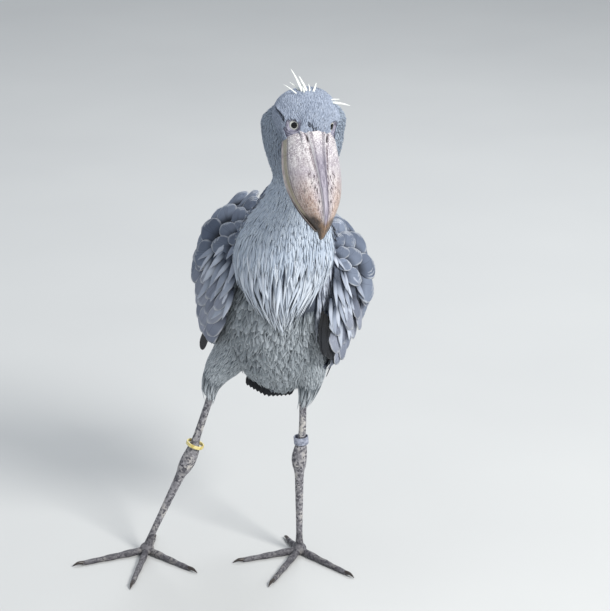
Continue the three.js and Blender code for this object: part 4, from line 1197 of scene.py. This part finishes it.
# Tail: a short fan of broad dark feathers, all from one narrow root.
class Fan(Form):
    """A flat sheet, its t along the slope of the tail over FAN_LONG and its a across, in millimetres."""

    FAN_LONG = 200

    def spot(self, t, a, grow=0.0):
        slope = unit(np.array([0.08, 0.14, -0.98]))
        local = np.stack([a + 34, 172 + 0 * a, -150 + 0 * a], -1) + slope * (t * self.FAN_LONG)[..., None]
        return placed(local, self.origin, self.axes)

    def middle(self, t):
        return self.placed(0 * t, 0 * t, 0 * t)


TAIL_FEATHERS = 12
tail = Coat()
share = np.linspace(-1, 1, TAIL_FEATHERS)
roots = (np.zeros(TAIL_FEATHERS), share * 26)
long = 138 * (1 - 0.12 * abs(share))
tail.grow(Fan([], TRUNK_AT, TRUNK_AXES), roots, long, 30, "blade", heading=share * 12 - 9, section=VANE,
          thick=1.1, rise=0, sink=-2.5 * (1 - abs(share)), tilt=-6 * np.sign(share), seed=91,
          shake=(0, 0, 0), atlas=(0.4, 0.4, 0.6, 0.6))
tail.piece("tail_fan", black, "feather_dark", "tail")

# Bill: a deep horn shell with a flat culmen between two raised lines, a groove outside each line, and a
# hooked nail. Rows are [distance forward of the eyes, half-width, culmen, line of the mouth, underside].
BILL_SLICES = [
    [-12, 44, 24, -24, -46],
    [15, 53, 26, -28, -56],
    [50, 57.5, 25, -31, -62],
    [85, 59.5, 25, -33, -63],
    [120, 57, 26, -32, -59],
    [155, 49, 25, -28, -51],
    [185, 37, 21, -23, -42],
    [208, 25, 13, -19, -34],
    [224, 15, 2, -17, -27],
]
NAIL = [[232, 9.5, -8, -21, -27], [238, 4.6, -18, -27, -28], [240, 0.6, -28.5, -30, -30]]
BILL_LONG = 240
# Half outlines, as shares of the half-width and of the rise from the lower line to the upper one.
UPPER_HALF = [
    [0, 0.14], [0.5, 0.11], [0.9, 0.03], [1.0, 0.0], [1.02, 0.08], [1.01, 0.2], [0.955, 0.4], [0.86, 0.57],
    [0.72, 0.72], [0.56, 0.82], [0.4, 0.885], [0.32, 0.905], [0.275, 0.885], [0.235, 0.9], [0.205, 0.965],
    [0.185, 0.985], [0.15, 0.962], [0.07, 0.965], [0, 0.97],
]
LOWER_HALF = [
    [0, 1.0], [0.6, 1.0], [0.97, 1.0], [0.985, 0.9], [0.985, 0.6], [0.9, 0.3], [0.6, 0.08], [0.25, 0.01],
    [0, 0.03],
]
RIDGE_AHEAD = [0, 20, 70, 120, 160, 200, 240]
RIDGE_HALF = [19, 18, 12.5, 8.5, 6.4, 4.4, 0.4]  # from the culmen's middle to each raised line there
RIDGE_SHARE = 0.195


def bill_shell(rows, half, base, roof, rings, sides):
    """A closed grid: the half outline, as shares of the half-width and of the rise from base to roof,
    is swept through the rows and mirrored. On the upper half its inner points follow the raised lines."""
    t = np.linspace(0, 1, rings)[:, None]
    row = along(np.array(rows, float), t[:, 0])
    f = np.linspace(0, 1, sides)
    x, z = along(np.array(half, float), f).T
    wide, low, high = row[:, 1:2], row[:, base : base + 1], row[:, roof : roof + 1]
    ridge = np.interp(row[:, :1], RIDGE_AHEAD, RIDGE_HALF) / (RIDGE_SHARE * wide)
    x = x * (1 + (ridge - 1) * np.clip((0.6 - x) / 0.25, 0, 1)) if roof == 2 else x
    side = np.stack([x * wide, np.broadcast_to(-row[:, :1], (rings, sides)), low + z * (high - low)], -1)
    other = side[:, 1:-1][:, ::-1] * np.array([-1, 1, 1])
    return np.concatenate([side, other], 1)


def with_ends(values):
    """Numbers at the points of a grid, as those at the points of its tube."""
    flat = values.reshape(-1, *values.shape[2:])
    return np.concatenate([flat, values[:1].mean(1), values[-1:].mean(1)])


def bill_map(grid, sides):
    """Across: 0 at the culmen's middle to 1 at the edge and on under, as shares of the girth at a third of
    the length, so that each line keeps its number. Along: share of the bill."""
    step = np.linalg.norm(np.diff(grid[:, :sides], axis=1), axis=2)
    far = np.concatenate([np.zeros((len(grid), 1)), np.cumsum(step, 1)], 1)
    far = (far[:, -1:] - far) / np.maximum(far[:, -1:], 1e-9)
    far = np.broadcast_to(far[len(far) // 3], far.shape)
    whole = np.concatenate([far, far[:, 1:-1][:, ::-1]], 1)
    return np.stack([whole, -grid[..., 1] / BILL_LONG], -1)


UPPER_SIDES = 72
HOOK_NARROW = [1, 1, 1, 1, 1, 1, 0.96, 0.86, 0.78, 0.85, 1, 1]
upper_rows = np.array(BILL_SLICES + NAIL, float)
upper_rows[:, 1] *= HOOK_NARROW
upper = bill_shell(upper_rows, UPPER_HALF, 3, 2, 150, UPPER_SIDES)
upper_map = bill_map(upper, UPPER_SIDES)
NOSTRIL = (21.5, -36, 8.5, 1.5)  # sideways, back, half-length, half-width
NOSTRIL_DEEP = 3.2
ROOT_RISE = 4  # how far the root of the bill runs up the forehead in its middle
ROOT_DIP = 11  # and how far it goes down under the feathers at its sides
side, back = np.abs(upper[..., 0]), upper[..., 1]
slit = ((side - NOSTRIL[0] - 0.12 * (back - NOSTRIL[1])) / NOSTRIL[3]) ** 2
slit = slit + ((back - NOSTRIL[1]) / NOSTRIL[2]) ** 2
root = np.clip(1 + back / 30, 0, 1.5)
middle = np.exp(-((side / 13) ** 2))
upper[..., 2] += root * (ROOT_RISE * middle - ROOT_DIP * (1 - middle))
depth = np.clip(1 - slit, 0, 1) * (upper[..., 2] > 5)
upper[..., 2] -= NOSTRIL_DEEP * np.sqrt(depth)

# Horn: grey, pink and buff streaks and crumbs, a net of fine cracks near the base, dark dashes beside the
# grooves, a buff margin with a line of painted shade in the groove inside it, painted shade in the grooves,
# a grey culmen between two pale lines, a brown and black nail, and nostrils painted near black as the shade
# in their holes.
horn = Finish("bill_horn", Roughness=0.4, Coat_Weight=0.12, Coat_Roughness=0.3)
chart = horn.node("ShaderNodeUVMap", {"uv_map": "Bill"})
across, down = horn.part(chart, 0), horn.part(chart, 1)
run_map = horn.scaled(chart, (7, 3.2, 1))
streak = horn.noise(3.2, 5.0, 0.65, at=run_map)
speck = horn.noise(9.0, 3.0, 0.6, at=run_map)
net = horn.cells(170, "DISTANCE_TO_EDGE")
patch = horn.noise(34)
slant = horn.node("ShaderNodeCombineXYZ", {}, {0: (across - down * 0.3) * 8, 1: down * 2.6})
dash = horn.noise(6.0, 3.0, 0.6, at=slant)
crumb = horn.noise(330, 3.0, 0.7)
wander = (horn.noise(26, 2.0) - 0.5) * 0.012
near_base = down.fall(0.1, 0.5)
beside = across.step(0.1, 0.14) * across.fall(0.2, 0.27) * down.step(0.3, 0.5)
outer_side = across.band(0.2, 0.3, 0.42, 0.5) * down.step(0.42, 0.6) * down.fall(0.74, 0.86)
margin = across - down * 0.08
ridge_at, seam_at = across + wander, across + wander * 2
culmen = ridge_at.fall(0.062, 0.072) * down.step(0.1, 0.4)
seam = (seam_at - 0.03).step(0.0, 0.008) * seam_at.fall(0.045, 0.06)
# The groove outside each raised line is darker: painted shade in the groove, with the horn's own dark dashes
# in it.
groove = ridge_at.band(0.094, 0.104, 0.116, 0.13) * (0.25 + dash.step(0.45, 0.55) * 0.6)
tip = (down + patch * 0.08 + across * 0.2).step(0.92, 0.99)
tone = horn.layered(
    horn.blend(streak.step(0.34, 0.66), "#948b91", "#c4bfc0"),
    (patch.step(0.42, 0.7) * 0.5, "#8f8594"),
    (down.step(0.38, 0.8) * across.step(0.1, 0.3) * 0.7, "#aa8a70"),
    (net.fall(0.0, 0.0028) * (near_base * 0.7 + 0.2), "#584c5a"),
    (crumb.step(0.48, 0.58) * (near_base * 0.6 + 0.25), "#ebe8e8"),
    (crumb.fall(0.32, 0.44) * 0.4, "#6a5a60"),
    ((dash - 0.54).step(0.0, 0.04) * (beside + outer_side * 0.7).least(1.0) * 0.92, "#36282c"),
    (margin.step(0.47, 0.5) * 0.75, horn.blend(streak, "#7b7155", "#b5ad8e")),
    # Painted shade: a dark line in the groove just inside the buff margin.
    (margin.band(0.455, 0.468, 0.472, 0.485) * 0.7, "#514540"),
    (culmen * 0.85, horn.blend(streak.step(0.35, 0.6), "#595467", "#8f8998")),
    (seam * 0.6, "#4c4552"),
    (groove, "#4d4149"),
    (ridge_at.band(0.066, 0.074, 0.084, 0.092) * 0.9, "#ebe8ea"),
    (tip * 0.9, horn.blend((speck + across * 0.5).fall(0.45, 0.72), "#231b19", "#937557")),
    # Painted shade: the nostril is painted near black for the shade inside its hole.
    (horn.mark("nostril").step(0.05, 0.4), "#1d1718"),
)
relief = streak * 0.5 + crumb * 0.35 + net.step(0.0, 0.0022) * near_base * 0.6
horn.feed(Base_Color=tone, Roughness=0.34 + streak * 0.2, Normal=horn.bump(relief, 0.0014))
bill_upper = put("bill_upper_horn", *tube(in_head(upper)), horn.material)
add_map(bill_upper, "Bill", with_ends(upper_map))
add_mark(bill_upper, "nostril", with_ends(depth))

LOWER_SIDES = 40
lower = bill_shell(BILL_SLICES, LOWER_HALF, 4, 3, 120, LOWER_SIDES)
lower[..., 2] -= 0.3
dark_horn = Finish("bill_horn_lower", Roughness=0.45)
low_chart = dark_horn.node("ShaderNodeUVMap", {"uv_map": "Bill"})
low_across, low_down = dark_horn.part(low_chart, 0), dark_horn.part(low_chart, 1)
low_streak = dark_horn.noise(60, 4.0)
wall = low_across.band(0.52, 0.54, 0.55, 0.58)
# The lower mandible darkens towards its tip: partly its own dark tip, partly painted shadow.
low_tone = dark_horn.layered(
    dark_horn.blend(low_streak.step(0.35, 0.65), "#a8989a", "#cfc2ba"),
    (low_down.step(0.45, 0.7) * (1 - wall * 0.8), dark_horn.blend(low_streak, "#1b1716", "#54453d")),
)
dark_horn.feed(Base_Color=low_tone, Normal=dark_horn.bump(low_streak, 0.0008))
bill_lower = put("bill_lower_horn", *tube(in_head(lower)), dark_horn.material)
add_map(bill_lower, "Bill", with_ends(bill_map(lower, LOWER_SIDES)))
for piece, node in ((bill_upper, "bill_upper"), (bill_lower, "bill_lower")):
    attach(piece, "root")
    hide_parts(node)

# Eyes: pale balls with a black pupil, each in a ring of bare, finely wrinkled lids under a straight brow.
IRIS = math.asin(12.7 / EYE_RADIUS)
PUPIL = math.asin(6.7 / EYE_RADIUS)
OPENING = 12.6  # half-width of the opening between the lids
BROW = 9.4  # height of the brow's straight edge over the pupil's middle
# From the edge of the opening outwards, [distance, height over the eye's middle].
LID_PROFILE = [
    [0, 7.6], [0.9, 9.6], [2.2, 8.8], [3.3, 9.8], [4.8, 8.8], [6.2, 9.4], [8.0, 8.0], [10.4, 4.6],
]
LID_RINGS, LID_ROUND = 40, 96
LID_THICK = 2.2
BALL_RINGS, BALL_ROUND = 60, 64

ball_finish = Finish("eye_pale", Roughness=0.06, Coat_Weight=0.25, Coat_Roughness=0.02, IOR=1.36)
turn_away = ball_finish.mark("away")  # the angle from the middle of the pupil
fibre = ball_finish.noise(900, 2.0)
iris_tone = ball_finish.layered(
    ball_finish.blend(fibre.step(0.35, 0.65), "#e4e6dc", "#fafaf3"),
    # Painted shade: the iris darkens a little round the pupil.
    (turn_away.fall(PUPIL, PUPIL + 0.1) * 0.4, "#a3a598"),
    (turn_away.step(IRIS - 0.03, IRIS + 0.02), "#3b3a3c"),
    (turn_away.fall(PUPIL - 0.02, PUPIL + 0.02), "#060607"),
)
ball_finish.feed(Base_Color=iris_tone)

lid_finish = Finish("lid_skin", Roughness=0.6)
wrinkle = lid_finish.noise(260)
fold = lid_finish.cells(420, "DISTANCE_TO_EDGE")
lid_tone = lid_finish.layered(
    lid_finish.blend(wrinkle.step(0.35, 0.65), "#666576", "#a3a1b0"),
    # Painted shade: the creases between the lids' wrinkles are darker.
    (fold.fall(0.0, 0.0009) * 0.5, "#4c4a56"),
    # Painted shade: the lids darken at the edge of the opening, under the brow and round the eye.
    (lid_finish.mark("rim").fall(0.03, 0.12), "#232227"),
)
lid_finish.feed(Base_Color=lid_tone, Normal=lid_finish.bump(fold.step(0, 0.001) + wrinkle, 0.0006))


def ball_grid(rings, sides):
    """The rings of a ball of radius 1 round its upright axis, without its two poles."""
    polar = np.linspace(0, np.pi, rings)[1:-1, None]
    a = np.linspace(0, 2 * np.pi, sides, endpoint=False)[None, :]
    return np.stack([np.sin(polar) * np.cos(a), np.sin(polar) * np.sin(a), np.cos(polar) + 0 * a], -1)


def lid_grid():
    """The lids of one eye in its own axes: the profile is carried round the opening, a circle that the
    brow cuts straight. It narrows and rises at the brow, and ripples a little. A second sheet backs it."""
    a = np.linspace(0, 2 * np.pi, LID_ROUND, endpoint=False)
    upward = np.sin(a)
    opening = np.where(upward > 0.01, np.minimum(OPENING, BROW / np.maximum(upward, 0.01)), OPENING)
    share = np.linspace(0, 1, LID_RINGS)
    profile = along(np.array(LID_PROFILE, float), share)
    reach = opening[None, :] + profile[:, :1] * (1 - 0.6 * np.clip(upward * 2, 0, 1))
    brow_lift = 4.6 * np.clip(upward, 0, 1) ** 2 * np.exp(-((profile[:, :1] - 1.6) / 3.4) ** 2)
    ripple = 0.25 * np.sin(a * 23 + 2 * np.sin(3 * a)) * np.sin(np.pi * share)[:, None]
    face = np.stack([reach * np.cos(a), reach * upward[None, :], profile[:, 1:] + brow_lift + ripple], -1)
    return np.concatenate([face, face[::-1] - np.array([0, 0, LID_THICK])])


for name in EYE_SIDES:
    middle, axes = eye_frame(name)
    gaze = HEAD_AXES @ (GAZE * np.array([EYE_SIDES[name], 1, 1]))
    aside = unit(np.cross(axes[:, 1], gaze))
    ball_axes = np.stack([aside, np.cross(gaze, aside), gaze], 1)
    ball = ball_grid(BALL_RINGS, BALL_ROUND) @ ball_axes.T * EYE_RADIUS / 1000
    eye = put(f"eye_ball_{name}", *tube(middle - axes[:, 2] * EYE_DEEP / 1000 + ball), ball_finish.material)
    away = np.linspace(0, np.pi, BALL_RINGS)
    add_mark(eye, "away", np.concatenate([np.repeat(away[1:-1], BALL_ROUND), [0, np.pi]]))
    lids = put(f"eye_lids_{name}", *tube(middle + lid_grid() @ axes.T / 1000), lid_finish.material)
    share = np.repeat(np.linspace(0, 1, LID_RINGS), LID_ROUND)
    add_mark(lids, "rim", np.concatenate([share, share[::-1], [0, 0]]))
    for piece, slot in ((eye, "eye"), (lids, "feather_pale")):
        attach(piece, "root")
    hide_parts(f"eye_{name}")

# Legs: bare, scaled shank, ankle, tarsus and long toes, in one hide for each leg, with horn claws. The
# line of each leg runs from under the thigh to the sole as [x, y, height], and both have the same girth,
# [half-width, half-depth]. A toe is [degrees to the bird's left of straight ahead, reach, claw].
LEG_GIRTH = [
    (9, 9.5), (8.4, 9), (8.4, 9), (9.4, 10), (15, 14.6), (17.5, 16), (15.5, 15), (10.8, 12), (8.6, 10.5),
    (7.6, 10), (11, 12),
]
LEGS = {
    "left": {
        "line": [
            (12, -2, 402), (9, -1, 379.5), (8, 0, 330), (6, 0, 292), (3, 0, 266), (0, 0, 243), (0, 1, 222),
            (0, 1, 200), (0, 1, 120), (0, 0, 50), (0, 0, 16),
        ],
        "foot": (0, 0),
        "toes": {
            "hallux": (-157, 70, 24), "inner": (-70, 140, 24), "middle": (-21, 168, 26),
            "outer": (43, 160, 24),
        },
    },
    "right": {
        "line": [
            (-202, -2, 416), (-203.4, -1, 395.5), (-219, 0, 345), (-237, 0, 290), (-245, 0, 262),
            (-256, 0, 236), (-266, 1, 216), (-277, 1, 194), (-310, 1, 122), (-343, 0, 50), (-355, 0, 16),
        ],
        "foot": (-356, 0),
        "toes": {
            "hallux": (170, 70, 24), "inner": (48, 140, 24), "middle": (-8, 168, 26),
            "outer": (-66, 160, 24),
        },
    },
}
PAD_HALF = (17, 19, 15)  # the foot's pad: half its width, length and height
PAD_HIGH = 12
FLOOR_GAP = 0.0003  # how far above the floor the lowest hide and horn lie, in metres
LEG_VOXEL = 0.0015

leg_finish = Finish("leg_scales", Roughness=0.62)
plate = leg_finish.cells(215, "DISTANCE_TO_EDGE")
plate_tone = leg_finish.node("ShaderNodeSeparateColor", {}, {0: leg_finish.cells(215, out=1)}, 0)
worn = leg_finish.noise(26, 4.0)
leg_tone = leg_finish.layered(
    leg_finish.blend(plate_tone, "#403f47", "#a09ea2"),
    (worn.step(0.46, 0.64) * plate_tone.step(0.25, 0.6), "#bdb9b4"),
    (worn.fall(0.2, 0.42) * 0.7, "#34333a"),
    (plate.fall(0.0, 0.0011) * 0.75, "#2b2a30"),
    (leg_finish.part(leg_finish.place(), 2).fall(0.02, 0.09) * 0.6, "#37353a"),
)
leg_finish.feed(Base_Color=leg_tone, Normal=leg_finish.bump(plate.step(0, 0.0018) + worn * 0.4, 0.0018))
claw_finish = Finish("claw_horn", Roughness=0.35)
claw_grain = claw_finish.noise(120)
claw_tone = claw_finish.blend(claw_grain, "#1b1817", "#463d38")
claw_finish.feed(Base_Color=claw_tone, Normal=claw_finish.bump(claw_grain, 0.0004))


def heading_of(angle):
    return np.array([math.sin(math.radians(angle)), -math.cos(math.radians(angle))])


def toe_rows(foot, angle, reach):
    """Knuckles from the pad to the claw: each second one swells, and all lie on the floor."""
    t = np.arange(8) / 7
    swell = np.where(np.arange(8) % 2 == 0, 1.0, 0.86)
    flat = np.array(foot) + heading_of(angle) * (reach * t)[:, None]
    return np.column_stack([flat, 12 - 6.8 * np.sqrt(t), (9 - 3.4 * t) * swell, (10 - 4 * t) * swell])


def claw_rows(foot, angle, reach, length):
    """A claw leaves the toe level, arches a little and comes down to its point."""
    far = np.array([reach - 4, reach + 0.35 * length, reach + 0.7 * length, reach + length])
    flat = np.array(foot) + heading_of(angle) * far[:, None]
    return np.column_stack([flat, [6.2, 7.6, 5.6, 2.2], [4.7, 3.7, 2.3, 0.5], [4.9, 3.9, 2.4, 0.6]])


def on_floor(points):
    """Points that would lie below the floor's gap come up to it, which flattens the sole."""
    return np.column_stack([points[:, :2], np.maximum(points[:, 2], FLOOR_GAP)])


for name, leg in LEGS.items():
    pad = ball_grid(14, 20) * PAD_HALF + np.array([*leg["foot"], PAD_HIGH])
    shank = Limb(np.column_stack([leg["line"], LEG_GIRTH]))
    parts = [tube(shank.closed(0, 120, 28)), tube(placed(pad))]
    for angle, reach, _ in leg["toes"].values():
        parts.append(tube(Limb(toe_rows(leg["foot"], angle, reach), (0, 0, 1)).closed(0, 60, 20)))
    hide_leg = fused(f"leg_hide_{name}", parts, LEG_VOXEL, 3, leg_finish.material)
    reshaped(hide_leg, on_floor)
    claws = [Limb(claw_rows(leg["foot"], *toe), (0, 0, 1)) for toe in leg["toes"].values()]
    points, faces = gathered([tube(claw.closed(0, 20, 14)) for claw in claws])
    horns = put(f"claw_horns_{name}", on_floor(points), faces, claw_finish.material)
    for piece, slot in ((hide_leg, "leg_skin"), (horns, "claw")):
        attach(piece, "root")
    toes = [f"toe_{name}_{toe}" for toe in leg["toes"]]
    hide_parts(f"shank_{name}", f"tarsus_{name}", f"foot_{name}", *toes)
    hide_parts(*[f"claw_{name}_{toe}" for toe in leg["toes"]])

# Leg rings: two plain plastic bands, a tall worn grey one and a narrow loose yellow one. Each is a rounded
# section turned round the leg. Radius is to the outside, and the tilt is in degrees.
RINGS = {
    "left": {
        "at": (4.4, 0, 288), "tilt": -4, "radius": 17, "wall": 2.4, "tall": 18,
        "tones": ("#6f7484", "#a2a7b6"), "slot": "ring_grey",
    },
    "right": {
        "at": (-239.5, 0, 277), "tilt": 20, "radius": 21, "wall": 3, "tall": 8,
        "tones": ("#c9b567", "#efe3a4"), "slot": "ring_yellow",
    },
}
RING_ROUND = 72
RING_EDGE = 0.9  # the radius of the section's corners


def ring_section(radius, wall, tall):
    """A rectangle with round corners, four points to each, as [out from the axis, height]."""
    x, z = np.repeat([[1, -1], [1, 1], [-1, 1], [-1, -1]], 4, 0).T
    angle = np.radians(np.repeat([-90, 0, 90, 180], 4) + np.tile([0, 30, 60, 90], 4))
    out = radius - wall / 2 + x * (wall / 2 - RING_EDGE) + RING_EDGE * np.cos(angle)
    return out, z * (tall / 2 - RING_EDGE) + RING_EDGE * np.sin(angle)


for name, ring in RINGS.items():
    out, rise = ring_section(ring["radius"], ring["wall"], ring["tall"])
    round_it = np.linspace(0, 2 * np.pi, RING_ROUND, endpoint=False)[:, None]
    grid = np.stack([out * np.cos(round_it), out * np.sin(round_it), rise + 0 * round_it], -1)
    points = placed(grid.reshape(-1, 3) @ leaned(ring["tilt"]).T + np.array(ring["at"]))
    j, i = (x.ravel() for x in np.meshgrid(np.arange(RING_ROUND), np.arange(len(out)), indexing="ij"))
    here, there, after = j * len(out), (j + 1) % RING_ROUND * len(out), (i + 1) % len(out)
    faces = np.stack([here + i, here + after, there + after, there + i], 1)
    plastic = Finish(f"ring_plastic_{name}", Roughness=0.45)
    scuff = plastic.noise(140, 4.0)
    ring_tone = plastic.blend(scuff.step(0.35, 0.65), *ring["tones"])
    plastic.feed(Base_Color=ring_tone, Normal=plastic.bump(scuff, 0.0003))
    band = put(f"leg_band_{name}", points, faces[:, ::-1], plastic.material)
    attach(band, "root")
    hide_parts(f"leg_ring_{name}")
